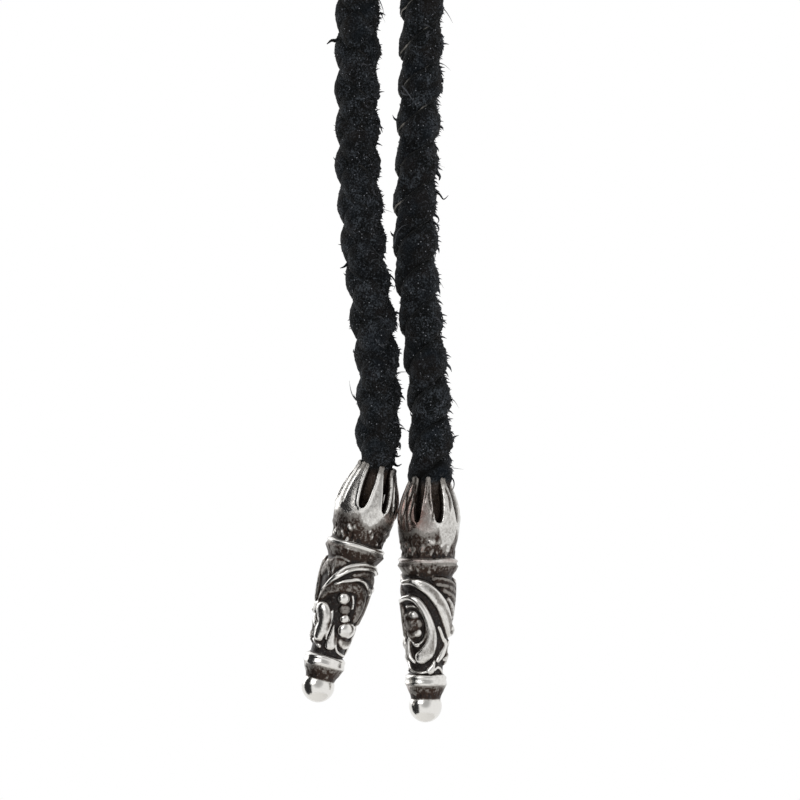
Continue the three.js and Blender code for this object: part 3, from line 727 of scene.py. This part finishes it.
# Scrolls: path of (degrees round from the front, depth below the mouth), half width along it, height, shape
# and the share of oxide left on top
scrolls = [
    ([(-62, 15.3), (-52, 14.0), (-38, 12.95), (-25, 12.2), (-12, 11.5), (0, 10.95), (14, 10.6), (34, 10.35),
      (60, 10.3), (84, 10.6), (104, 10.8)], [0.16, 0.2, 0.26, 0.4, 0.42, 0.4, 0.34], 0.5, "channel", 0.05),
    ([(-80, 11.9), (-62, 11.2), (-40, 10.9), (-14, 10.5)], [0.6, 0.75, 0.6, 0.3], 0.26, "flat", 0.5),
    ([(-34, 11.9), (-36, 11.1), (-34, 10.4)], [0.22], 0.4, "ridge", 0.3),
    ([(-62, 10.6), (-52, 11.2), (-42, 11.9)], [0.22], 0.34, "ridge", 0.35),
    ([(-44, 12.2), (-50, 11.2), (-44, 10.4), (-24, 10.05), (-4, 10.2)], [0.15], 0.3, "ridge", 0.35),
    ([(-98, 10.6), (-93, 12.0), (-90, 13.6), (-88, 15.0)], [0.35, 0.5, 0.5, 0.4], 0.5, "round", 0.3),
    ([(16, 11.5), (36, 11.2), (62, 11.25), (86, 11.9), (100, 12.3)], [0.25, 0.42, 0.5, 0.4], 0.3, "flat", 0.6),
    ([(-20, 12.9), (-6, 12.45), (10, 12.1), (28, 11.85), (44, 11.95), (58, 12.4), (74, 13.2)],
     [0.14, 0.2, 0.24, 0.2], 0.58, "ridge", 0.0),
    ([(-56, 15.0), (-40, 13.9), (-22, 13.35), (-2, 13.0), (20, 12.8), (40, 12.95), (52, 13.4)],
     [0.3, 0.5, 0.62, 0.66, 0.7], 0.46, "round", 0.6),
    ([(46, 13.1), (56, 14.0), (60, 15.1), (56, 16.1)], [0.6, 0.72, 0.66, 0.4], 0.47, "round", 0.6),
    ([(74, 12.7), (86, 13.7), (91, 15.1), (84, 16.5)], [0.34, 0.4, 0.4, 0.3], 0.44, "round", 0.45),
    ([(24, 13.6), (31, 14.1), (35, 15.0)], [0.12], 0.52, "ridge", 0.0),
    ([(-42, 15.9), (-34, 16.35), (-30, 17.1), (-32, 17.9), (-38, 18.7)], [0.95, 0.98, 0.72, 0.88, 0.6],
     0.72, "round", -0.1),
    ([(-12, 15.7), (-8, 16.6), (-9, 17.8), (-13, 18.8)], [0.12, 0.16, 0.12], 0.48, "ridge", 0.0),
    ([(-92, 16.2), (-80, 15.7), (-66, 15.45), (-54, 15.35), (-42, 15.6)], [0.5, 0.4, 0.3], 0.5, "round", 0.05),
    ([(-84, 16.5), (-76, 16.7), (-67, 17.2), (-66, 17.8), (-70, 18.4), (-76, 18.8)],
     [0.16], 0.46, "ridge", 0.0),
    ([(-92, 17.3), (-78, 17.2), (-60, 17.5)], [0.6, 0.5, 0.42], 0.5, "round", 0.3),
    ([(-64, 19.2), (-46, 19.4), (-30, 19.7)], [0.25], 0.3, "round", 0.35),
    ([(1, 17.2), (3, 18.4), (5, 19.3)], [0.08, 0.34, 0.6], 0.44, "round", -0.1),
    ([(15, 18.0), (22, 19.1), (32, 19.75), (52, 20.05), (80, 20.2)], [0.14], 0.4, "ridge", 0.0),
    ([(38, 18.6), (54, 18.9), (70, 18.8)], [0.6], 0.5, "round", 0.25),
    ([(64, 16.9), (76, 17.8), (82, 19.0)], [0.36, 0.42, 0.34], 0.42, "round", 0.15),
    ([(100, 10.85), (126, 10.7), (146, 11.0), (166, 11.5), (184, 12.25), (200, 13.15), (214, 14.2), (228, 15.3),
      (244, 16.0)], [0.3, 0.38, 0.52, 0.64, 0.7, 0.7, 0.7], 0.54, "flat", 0.12),
    ([(120, 10.4), (146, 10.5), (166, 10.85), (184, 11.5), (200, 12.3), (214, 13.3), (228, 14.5)],
     [0.14, 0.2, 0.22, 0.16], 0.64, "ridge", 0.0),
    ([(84, 12.8), (104, 12.5), (124, 12.4), (142, 12.75), (158, 13.65), (171, 14.9), (179, 16.2), (177, 17.3),
      (166, 18.2), (150, 18.7)], [0.3, 0.3, 0.34, 0.4, 0.44, 0.46, 0.52, 0.66, 0.8, 0.74], 0.56, "round", 0.05),
    ([(122, 12.1), (146, 12.5), (162, 13.45), (175, 14.8), (184, 16.2), (184, 17.2)], [0.1, 0.17, 0.17, 0.12],
     0.62, "ridge", 0.0),
    ([(108, 13.4), (128, 13.25), (146, 13.65), (158, 14.6), (163, 15.7), (159, 16.7), (145, 17.25),
      (128, 17.3)], [0.14], 0.42, "ridge", 0.3),
    ([(118, 16.6), (107, 17.2), (104, 18.1), (112, 18.8), (126, 19.2)], [0.16, 0.24, 0.26, 0.2],
     0.48, "round", 0.0),
    ([(119, 16.9), (130, 17.45), (142, 17.5)], [0.15], 0.46, "ridge", 0.0),
    ([(94, 19.2), (106, 20.0), (128, 20.3), (150, 20.35), (172, 20.15), (184, 19.6)],
     [0.16], 0.4, "ridge", 0.0),
    ([(180, 20.1), (186, 19.7), (191, 19.1)], [0.44, 0.3, 0.14], 0.42, "round", -0.1),
    ([(194, 20.05), (204, 19.75), (216, 19.85), (228, 20.3)], [0.15], 0.44, "ridge", 0.0),
    ([(198, 15.5), (208, 16.2), (220, 16.9), (234, 17.4)], [0.22], 0.52, "ridge", 0.0),
    ([(240, 17.6), (246, 18.4), (246, 19.3)], [0.25, 0.34, 0.25], 0.44, "round", 0.3),
    ([(222, 16.7), (229, 17.5), (220, 18.3), (204, 19.0)], [0.12, 0.3, 0.44, 0.26], 0.48, "round", -0.1),
    ([(240, 18.9), (254, 18.5), (266, 18.9)], [0.3, 0.42, 0.3], 0.56, "round", 0.2),
    ([(180, 10.3), (206, 10.4), (232, 10.75), (258, 11.2)], [0.3], 0.4, "round", 0.62),
    ([(188, 10.9), (212, 11.1), (236, 11.5), (260, 12.0)], [0.3, 0.4], 0.46, "round", 0.6),
    ([(204, 11.6), (224, 12.0), (246, 12.5), (264, 12.9)], [0.3, 0.4], 0.46, "round", 0.58),
    ([(216, 12.5), (232, 13.1), (250, 13.8), (262, 14.4)], [0.3, 0.36], 0.44, "round", 0.4),
    ([(240, 15.6), (252, 15.9), (262, 16.2)], [0.5, 0.6, 0.45], 0.74, "round", 0.15),
    ([(270, 17.2), (266, 18.2), (272, 19.3)], [0.3, 0.4, 0.3], 0.4, "round", 0.25),
]
beads = [  # degrees, depth, radius and share of oxide
    (7, 14.15, 0.66, -0.15), (17, 15.25, 0.62, 0.6), (26, 16.25, 0.56, -0.1), (42, 17.4, 1.0, -0.15),
    (128, 15.3, 0.85, 0.6), (116, 14.6, 0.66, 0.62), (132, 14.3, 0.62, 0.2), (143, 15.1, 0.56, 0.5),
    (138, 16.0, 0.62, 0.3), (122, 16.2, 0.66, 0.65), (109, 15.4, 0.62, 0.6)]


def byDepth(table, below):  # a value read off a table of (depth, value)
    return np.interp(below, *np.array(table, float).T)


def wrapped(degrees):  # the same angle, from -180 to 180
    return (degrees + 180) % 360 - 180


def scrollHeight(shape, distance):  # share of the full height, by share of the half width
    d = np.clip(distance, 0, 1)
    if shape == "ridge":  # a narrow crest
        return (1 - d) ** 0.8
    if shape == "channel":  # two full edges and a sunk middle
        return (1 - d**6) ** 0.5 * (0.6 + 0.4 * np.clip((d - 0.25) / 0.4, 0, 1) ** 2)
    if shape == "flat":
        return (1 - d**4) ** 0.5
    return (1 - d**2) ** 0.5


def addScroll(scroll, degrees, below, radius, height, tone):  # into height and tone, where it stands higher
    path, halves, high, shape, stain = scroll
    path = np.array(path, float)
    unroll = math.radians(1) * tip["bodyRadius"]  # millimetres round the body for each degree
    line = smoothRoute(path * [unroll, 1], tip["scrollStep"])
    middle = (path[:, 0].min() + path[:, 0].max()) / 2
    reach = max(halves) + tip["scrollMargin"]
    near = (below > path[:, 1].min() - reach) & (below < path[:, 1].max() + reach) & (below > tip["bodyTop"])
    x, y = (wrapped(degrees - middle) + middle)[near] * unroll, below[near]
    stretch = radius[near] / tip["bodyRadius"]
    nearest = np.full(x.shape, np.inf)
    along = np.zeros(x.shape)
    for i, (a, b) in enumerate(zip(line, line[1:])):
        sideX, sideY = (b[0] - a[0]) * stretch, b[1] - a[1]
        fromX, fromY = (x - a[0]) * stretch, y - a[1]
        t = np.clip((fromX * sideX + fromY * sideY) / (sideX**2 + sideY**2), 0, 1)
        distance = np.hypot(fromX - t * sideX, fromY - t * sideY)
        closer = distance < nearest
        nearest[closer] = distance[closer]
        along[closer] = (i + t[closer]) / (len(line) - 1)
    half = np.interp(along, np.linspace(0, 1, len(halves)), halves)
    part = high * scrollHeight(shape, nearest / half)
    higher = part > height[near]
    height[near] = np.where(higher, part, height[near])
    tone[near] = np.where(higher, stain, tone[near])


def relief(degrees, below, radius):  # height of the ornament over the plain body, and the oxide left on it
    height, tone = np.zeros(degrees.shape), np.zeros(degrees.shape)
    grooves, punches = tip["grooves"], tip["punches"]
    for scroll in scrolls:
        addScroll(scroll, degrees, below, radius, height, tone)
    for centre, depth, size, stain in beads:
        turned = wrapped(degrees - centre) * math.radians(1) * radius
        part = np.sqrt(np.clip(size**2 - np.hypot(turned, below - depth)**2, 0, None))
        part = part * tip["beadHeight"]
        tone = np.where(part > height, stain, tone)
        height = np.maximum(height, part)
    for centre, first, last, half, stain in grooves["lines"]:
        waver = grooves["waver"] * np.sin(grooves["wavesPerMm"] * below + centre)
        turned = wrapped(degrees - centre - waver) * math.radians(1) * radius / half
        ends = [(first, 0), (first + grooves["fadeIn"], 1), (last - grooves["fadeOut"], 1), (last, 0)]
        reach = byDepth(ends, below)
        cut = np.exp(-turned**2) * reach
        lip = np.exp(-((turned - grooves["lipAt"]) / grooves["lipWidth"])**2) * reach
        height, tone = height + grooves["depth"] * (lip - cut), np.maximum(tone, stain * cut)
    chance = np.random.default_rng(punches["seed"])
    for zoneTop, zoneEnd, count, stand in punches["zones"]:  # small punch marks, some with a burr
        for _ in range(count):
            centre, size = chance.uniform(0, 360), chance.uniform(punches["least"], punches["most"])
            depth = chance.uniform(zoneTop, zoneEnd)
            turned = wrapped(degrees - centre) * math.radians(1) * radius
            part = np.clip(1 - np.hypot(turned, (below - depth) * punches["squash"]) / size, 0, 1)
            height = height + part * size * chance.choice([-1, 1]) * stand
    return height, tone


def blurred(grid, times):  # each value shared with its neighbours, round the columns and down the rows
    for _ in range(times):
        grid = (np.roll(grid, 1, 1) + 2 * grid + np.roll(grid, -1, 1)) / 4
        padded = np.vstack([grid[:1], grid, grid[-1:]])
        grid = (padded[:-2] + 2 * padded[1:-1] + padded[2:]) / 4
    return grid


def tipProfile(below):  # radius of the plain casting at a depth, with its corners blended
    runs = np.vstack([smoothRoute(run, tip["profileStep"]) for run in tip["profile"]])
    step, spread = 0.01, 15
    fine = np.arange(0, tip["ball"]["below"] + step / 2, step)
    kernel = np.exp(-0.5 * (np.arange(-spread, spread + 1) * step / tip["blend"])**2)
    radius = np.pad(np.interp(fine, runs[:, 0], runs[:, 1]), spread, "edge")
    return np.interp(below, fine, np.convolve(radius, kernel / kernel.sum(), "valid"))


def tipSurface(degrees, below, slot):  # outer radius and its oxide; slot is the distance to the nearest slot
    turn = np.radians(degrees)
    wobble = sum(high * np.sin(waves * turn + start) for high, waves, start in tip["waves"])
    radius = tipProfile(below + wobble * byDepth(tip["wavesAt"], below))
    radius = radius + tip["rim"] * np.exp(-0.5 * ((slot - tip["rimAt"]) / tip["rimWidth"])**2)
    away = np.clip(slot / tip["fillet"], 0, 1)
    radius = radius - tip["fillet"] * (1 - np.sqrt(1 - (1 - away)**2))
    point = np.clip((tip["petalTop"] + tip["tipFallOver"] - below) / tip["tipFallOver"], 0, 1)
    radius = radius - tip["tipFall"] * (1 - np.sqrt(1 - point**2))
    height, tone = relief(degrees, below, radius)
    return radius + height, tone


def slotAngle(below, share):  # half angle of a slot in degrees
    return np.degrees(byDepth(tip["slotHalf"], below) * share / tipProfile(below))


def slotDistance(degrees, below):  # distance along the wall to the nearest slot
    nearest = np.full(degrees.shape, np.inf)
    for centre, share in tip["slots"]:
        turned = np.abs(wrapped(degrees - centre))
        beside = np.radians(np.clip(turned - slotAngle(below, share), 0, None)) * tipProfile(below)
        under = np.clip(below - tip["slotHalf"][-1][0], 0, None)
        nearest = np.minimum(nearest, np.hypot(beside, under))
    return nearest


def around(radius, degrees, below):  # points round the tip's own axis
    angle = np.radians(degrees)
    return np.stack([radius * np.sin(angle), -radius * np.cos(angle), -below + 0 * angle], axis=-1)


def tipFilm(degrees, below, across, whole, tone):  # the oxide and the brown stain at each point of the wall
    film = tip["film"]
    body = byDepth(film["body"], below)
    proud = whole - tipProfile(below)
    crest = (whole - blurred(whole, film["crestTimes"])) * film["crestGain"]
    hollow = np.clip((blurred(whole, film["hollowTimes"]) - whole) * film["hollowGain"], 0, 1)
    hollow = hollow * (below > tip["slotHalf"][-1][0])
    low = np.clip(1 - proud / film["lowHeight"], 0, 1) * body
    fall = np.concatenate([depth * (1 - across**2) for depth in film["bandFall"]])
    bands = byDepth(film["bands"], below - fall * byDepth(film["bandFallAt"], below))
    bands = bands * np.where(below > film["punched"], np.clip(1 - proud / film["punchHeight"], 0, 1), 1)
    bands = bands * (1 - np.clip(proud / film["rimHeight"], 0, 1) * byDepth(film["rims"], below))
    bright = tone < film["bright"]
    oxide = np.maximum.reduce([hollow, film["low"] * low, bands, tone + film["satin"] * body * bright])
    worn = np.clip(crest, film["crestLeast"], film["crestMost"]) * body
    worn = worn * np.where(bright, 1, film["darkCrests"])
    oxide = np.clip(oxide - worn, film["barest"] * body, 1) - byDepth(film["burnished"], below)
    swing = film["stainSwing"] * np.sin(np.radians(degrees - film["stainFrom"]))
    stain = film["stainMean"] - swing * (below < film["stainSwingTo"])
    return oxide, byDepth(film["stain"], below) * stain


def tipMesh():  # points, faces, and the oxide and brown stain at each point
    corners, films, faces = [], [], []

    def sheet(points, oxide, stain=0.0, flip=False, closed=False):  # a grid of faces, rows down, columns round
        start = sum(len(block) for block in corners)
        rows, columns = points.shape[:2]
        corners.append(points.reshape(-1, 3))
        shown = [np.broadcast_to(value, (rows, columns)) for value in (oxide, stain)]
        films.append(np.stack(shown, axis=-1).reshape(-1, 2))
        index = start + np.arange(rows * columns).reshape(rows, columns)
        if closed:
            index = np.hstack([index, index[:, :1]])
        quads = np.stack([index[:-1, :-1], index[1:, :-1], index[1:, 1:], index[:-1, 1:]], axis=-1)
        quads = quads.reshape(-1, 4)
        faces.append(quads[:, ::-1] if flip else quads)

    slots, film = tip["slots"], tip["film"]
    count, begin, end = len(slots), tip["petalTop"], tip["slotHalf"][-1][0]
    left = np.array([slot[0] for slot in slots], float)
    right = np.append(left[1:], left[0] + 360)
    shares = np.array([slot[1] for slot in slots])
    across = np.linspace(-1, 1, tip["columns"] + 1)
    across = np.sign(across) * (1 - (1 - np.abs(across))**1.5)  # closer columns beside the slots
    inner = np.linspace(-1, 1, tip["innerColumns"] + 1)
    top = math.pi * np.arange(tip["slotRows"]) / (tip["slotRows"] - 1)
    top = begin + (end - begin) * (1 - np.cos(top)) / 2
    lower = [end]
    for limit, step in tip["rowSteps"]:
        steps = round((limit - lower[-1]) / step)
        lower += list(lower[-1] + (limit - lower[-1]) * (np.arange(steps) + 1) / steps)

    def petal(number, below, across):  # degrees of a row's points across one petal, with its rounded point
        first = left[number] + slotAngle(below, shares[number])
        last = right[number] - slotAngle(below, shares[(number + 1) % count])
        point = np.sqrt(1 - np.clip(1 - (below - begin) / tip["petalPoint"], 0, 1)**2)
        return (first + last) / 2 + across * (last - first) / 2 * point

    # The outer wall, in one sheet below the slots, and the ball
    below = np.concatenate([top[:-1], lower])[:, None]
    degrees = np.hstack([petal(number, below, across[None, :-1]) for number in range(count)])
    whole, tone = tipSurface(degrees, below + 0 * degrees, slotDistance(degrees, below + 0 * degrees))
    scrolled = (below > tip["wornFrom"]) & (below < tip["wornTo"])
    whole = np.where(scrolled, blurred(whole, tip["wornTimes"]), whole)
    oxide, stain = tipFilm(degrees, below, across[:-1], whole, tone)
    places = around(whole, degrees, below)
    split = len(top) - 1
    sheet(places[split:], oxide[split:], stain[split:], closed=True)
    ball = tip["ball"]
    polar = np.arange(1, ball["rows"] + 1) / ball["rows"] * math.pi / 2
    bowl = places[-1][None] * np.cos(polar)[:, None, None]
    bowl[..., 2] = -(ball["below"] + ball["radius"] * np.sin(polar))[:, None]
    bowl[-1, :, :2] = 0
    sheet(np.vstack([places[-1:], bowl]), film["ball"], closed=True)

    # The petals, each with its outer face, its inner face and the two walls beside its slots
    within = byDepth(tip["cavity"], top)
    thickness = np.linspace(0, 1, tip["wallColumns"] + 1)
    for number in range(count):
        turn = petal(number, top[:, None], across[None, :])
        surface, _ = tipSurface(turn, top[:, None] + 0 * turn, slotDistance(turn, top[:, None] + 0 * turn))
        outside = around(surface, turn, top[:, None])
        column = number * tip["columns"]
        columns = np.append(np.arange(column, column + tip["columns"]), column + tip["columns"] - 1)
        sheet(outside, oxide[:split + 1, columns], stain[:split + 1, columns])
        inside = around(within[:, None], petal(number, top[:, None], inner[None, :]), top[:, None])
        sheet(inside, film["inside"], flip=True)
        for side, flip in ((0, True), (-1, False)):
            share = thickness[None, :, None]
            wall = outside[:, side][:, None] * (1 - share) + inside[:, side][:, None] * share
            sheet(wall, np.interp(thickness, [0, 1], film["wall"])[None, :], film["wallStain"], flip=flip)
    turnIn = np.hstack([petal(number, end, inner[None, :-1]) for number in range(count)])
    depth, narrow = np.array([(end, 1)] + tip["cavityFloor"]).T
    narrow = narrow * byDepth(tip["cavity"], depth)
    sheet(around(narrow[:, None], turnIn, depth[:, None]), film["inside"], flip=True, closed=True)

    corners, films = np.vstack(corners), np.vstack(films)
    _, first, merged = np.unique(np.round(corners, 5) + 0.0, axis=0, return_index=True, return_inverse=True)
    return corners[first], merged.reshape(-1)[np.vstack(faces)], films[first]


def makeTips(finishes):
    points, faces, films = tipMesh()
    polygons = []
    for face in faces.tolist():
        face = [v for i, v in enumerate(face) if v != face[i - 1]]  # a merged corner is named once
        if len(face) > 2:
            polygons.append(face)
    for side, tail in tails.items():
        x, z = tail["places"][-1]
        place = (Matrix.Translation((x, keeper["y"], z)) @ Matrix.Rotation(math.radians(tail["lean"]), 4, "Y")
                 @ Matrix.Rotation(math.radians(tail["spin"]), 4, "Z"))
        turn = np.array(place)
        placed = (points @ turn[:3, :3].T + turn[:3, 3]) * mm
        mesh = bpy.data.meshes.new("tip_" + side)
        mesh.from_pydata(placed.tolist(), [], polygons)
        for name, values in zip(("oxide", "stain"), films.T.copy()):
            mesh.attributes.new(name, "FLOAT", "POINT").data.foreach_set("value", values)
        mesh.shade_smooth()
        mesh.set_sharp_from_angle(angle=math.radians(tip["sharp"]))
        mesh.materials.append(finishes[side])
        made = newObject("dressed_tip_" + side, mesh)
        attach(made, "root")
        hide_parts("tip_" + side)
        tail["tip"] = made
    print("tips done,", len(polygons), "faces each")


makeTips(silverFinish)

for side, tail in tails.items():
    points = tailPoints(tail)


# The keeper: a plain slide with a hole for each cord

slide = {"height": 9.0, "wall": 1.2, "spacing": 6.8, "hole": 2.7, "rounding": 0.35, "points": 64,
         "bevelSteps": 4, "sharp": 40, "film": 0.15}


def makeKeeper():
    data = bpy.data.curves.new("slide", "CURVE")
    data.dimensions = "2D"
    data.fill_mode = "BOTH"
    data.extrude = (slide["height"] / 2 - slide["rounding"]) * mm
    data.bevel_depth = slide["rounding"] * mm
    data.bevel_resolution = slide["bevelSteps"]
    data.offset = -slide["rounding"] * mm
    apart, count = slide["spacing"] / 2, slide["points"]
    outside = slide["hole"] + slide["wall"]
    rim = []
    for i in range(2 * count):  # a half round at each end
        angle = math.pi * (i / count - 0.5)
        centre = apart if i < count else -apart
        rim.append((centre + outside * math.cos(angle), outside * math.sin(angle)))
    angles = [2 * math.pi * i / count for i in range(count)]
    outlines = [rim] + [[(centre + slide["hole"] * math.cos(angle), slide["hole"] * math.sin(angle))
                         for angle in angles] for centre in (-apart, apart)]
    for outline in outlines:
        spline = data.splines.new("POLY")
        spline.points.add(len(outline) - 1)
        spline.points.foreach_set("co", [c for x, y in outline for c in (x * mm, y * mm, 0, 1)])
        spline.use_cyclic_u = True
    mesh = plainMesh(newObject("slide", data))
    mesh.transform(Matrix.Translation((0, keeper["y"] * mm, keeper["z"] * mm)))
    work = bmesh.new()
    work.from_mesh(mesh)
    bmesh.ops.remove_doubles(work, verts=work.verts, dist=1e-7)
    bmesh.ops.recalc_face_normals(work, faces=work.faces)
    work.to_mesh(mesh)
    work.free()
    mesh.shade_smooth()
    mesh.set_sharp_from_angle(angle=math.radians(slide["sharp"]))
    oxide = mesh.attributes.new("oxide", "FLOAT", "POINT").data
    oxide.foreach_set("value", [slide["film"]] * len(oxide))
    mesh.materials.clear()
    mesh.materials.append(silverFinish["keeper"])
    made = newObject("keeper_slide", mesh)
    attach(made, "root")
    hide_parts("cord_keeper")
    print("keeper done,", len(mesh.polygons), "faces")


makeKeeper()


# Studio

tent = {  # a pale light tent seen by the object: strength in each direction
    "walls": 0.98, "front": 0.48, "frontAt": (0.0, -0.9, 0.44), "doorway": 0.03,
    "doorwayAt": (-0.98, -0.17, 0.08), "doorwayHalf": 34.0, "doorwaySoft": 0.06,
    "doorwaySquash": (1.0, 1.0, 0.36),  # taller than it is wide
}


def makeWorld():
    world = bpy.data.worlds.new("studio")
    bpy.context.scene.world = world
    world.use_nodes = True
    tree = world.node_tree
    tree.nodes.clear()
    towards = add(tree, "ShaderNodeTexCoord").outputs["Generated"]
    front = add(tree, math3, {0: towards, 1: tent["frontAt"]}, operation="DOT_PRODUCT").outputs["Value"]
    front = add(tree, mapRange, {"Value": front, "From Min": 0.7, "From Max": 0.96},
                interpolation_type="SMOOTHSTEP")
    strength = add(tree, mapRange, {"Value": front, "To Min": tent["walls"], "To Max": tent["front"]})
    side = add(tree, math3, {0: towards, 1: tent["doorwaySquash"]}, operation="MULTIPLY")
    side = add(tree, math3, {0: side}, operation="NORMALIZE")
    centre = Vector(tent["doorwayAt"]).normalized()
    side = add(tree, math3, {0: side, 1: centre}, operation="DOT_PRODUCT").outputs["Value"]
    half, soft = math.radians(tent["doorwayHalf"]), tent["doorwaySoft"]
    side = add(tree, mapRange, {"Value": side, "From Min": math.cos(half + soft),
                                "From Max": math.cos(half - soft)}, interpolation_type="SMOOTHSTEP")
    strength = add(tree, mapRange, {"Value": side, "To Min": strength, "To Max": tent["doorway"]})
    lit = add(tree, "ShaderNodeBackground", {"Color": (1, 1, 1, 1), "Strength": strength})
    seen = add(tree, "ShaderNodeBackground", {"Color": (1, 1, 1, 1), "Strength": 1.0})
    camera = add(tree, "ShaderNodeLightPath").outputs["Is Camera Ray"]
    mixed = add(tree, "ShaderNodeMixShader", {0: camera, 1: lit, 2: seen})
    add(tree, "ShaderNodeOutputWorld", {"Surface": mixed})


lamps = {  # place and size in mm, power in watts; all aim at the middle of the view
    "key": {"place": (-380, -560, 60), "size": 420, "power": 1.1},
    "side": {"place": (-420, 260, -60), "size": 420, "power": 0.8},
}


def makeLamps():
    target = Vector(view["middle"]) * mm
    for name, lamp in lamps.items():
        data = bpy.data.lights.new(name, "AREA")
        data.size = lamp["size"] * mm
        data.energy = lamp["power"]
        made = newObject(name, data)
        made.location = Vector(lamp["place"]) * mm
        made.rotation_euler = (target - made.location).to_track_quat("-Z", "Y").to_euler()


floor = {"radius": 330.0, "z": -620.0, "corners": 96, "colour": "#f7f6f4", "grain": 3.0, "grainHeight": 0.1}


def makeFloor():
    material, tree = newMaterial("Pale plaster board")  # cast flat, so it is matt with a faint float grain
    place = add(tree, "ShaderNodeTexCoord").outputs["Object"]
    grain = add(tree, noiseNode, {"Vector": place, "Scale": 1 / (floor["grain"] * mm), "Detail": 3.0})
    bump = add(tree, "ShaderNodeBump", {"Height": grain, "Strength": 0.2,
                                        "Distance": floor["grainHeight"] * mm})
    shader = add(tree, "ShaderNodeBsdfPrincipled", {"Base Color": linear(floor["colour"]), "Roughness": 0.8,
                                                    "Normal": bump})
    add(tree, "ShaderNodeOutputMaterial", {"Surface": shader})
    mesh = bpy.data.meshes.new("floor")
    work = bmesh.new()
    bmesh.ops.create_circle(work, cap_ends=True, segments=floor["corners"], radius=floor["radius"] * mm)
    bmesh.ops.translate(work, verts=work.verts, vec=(0, keeper["y"] * mm, floor["z"] * mm))
    work.to_mesh(mesh)
    work.free()
    mesh.materials.append(material)
    newObject("floor", mesh)


makeLamps()
makeWorld()
makeFloor()
bpy.context.scene.view_settings.view_transform = "Standard"
print("studio done")
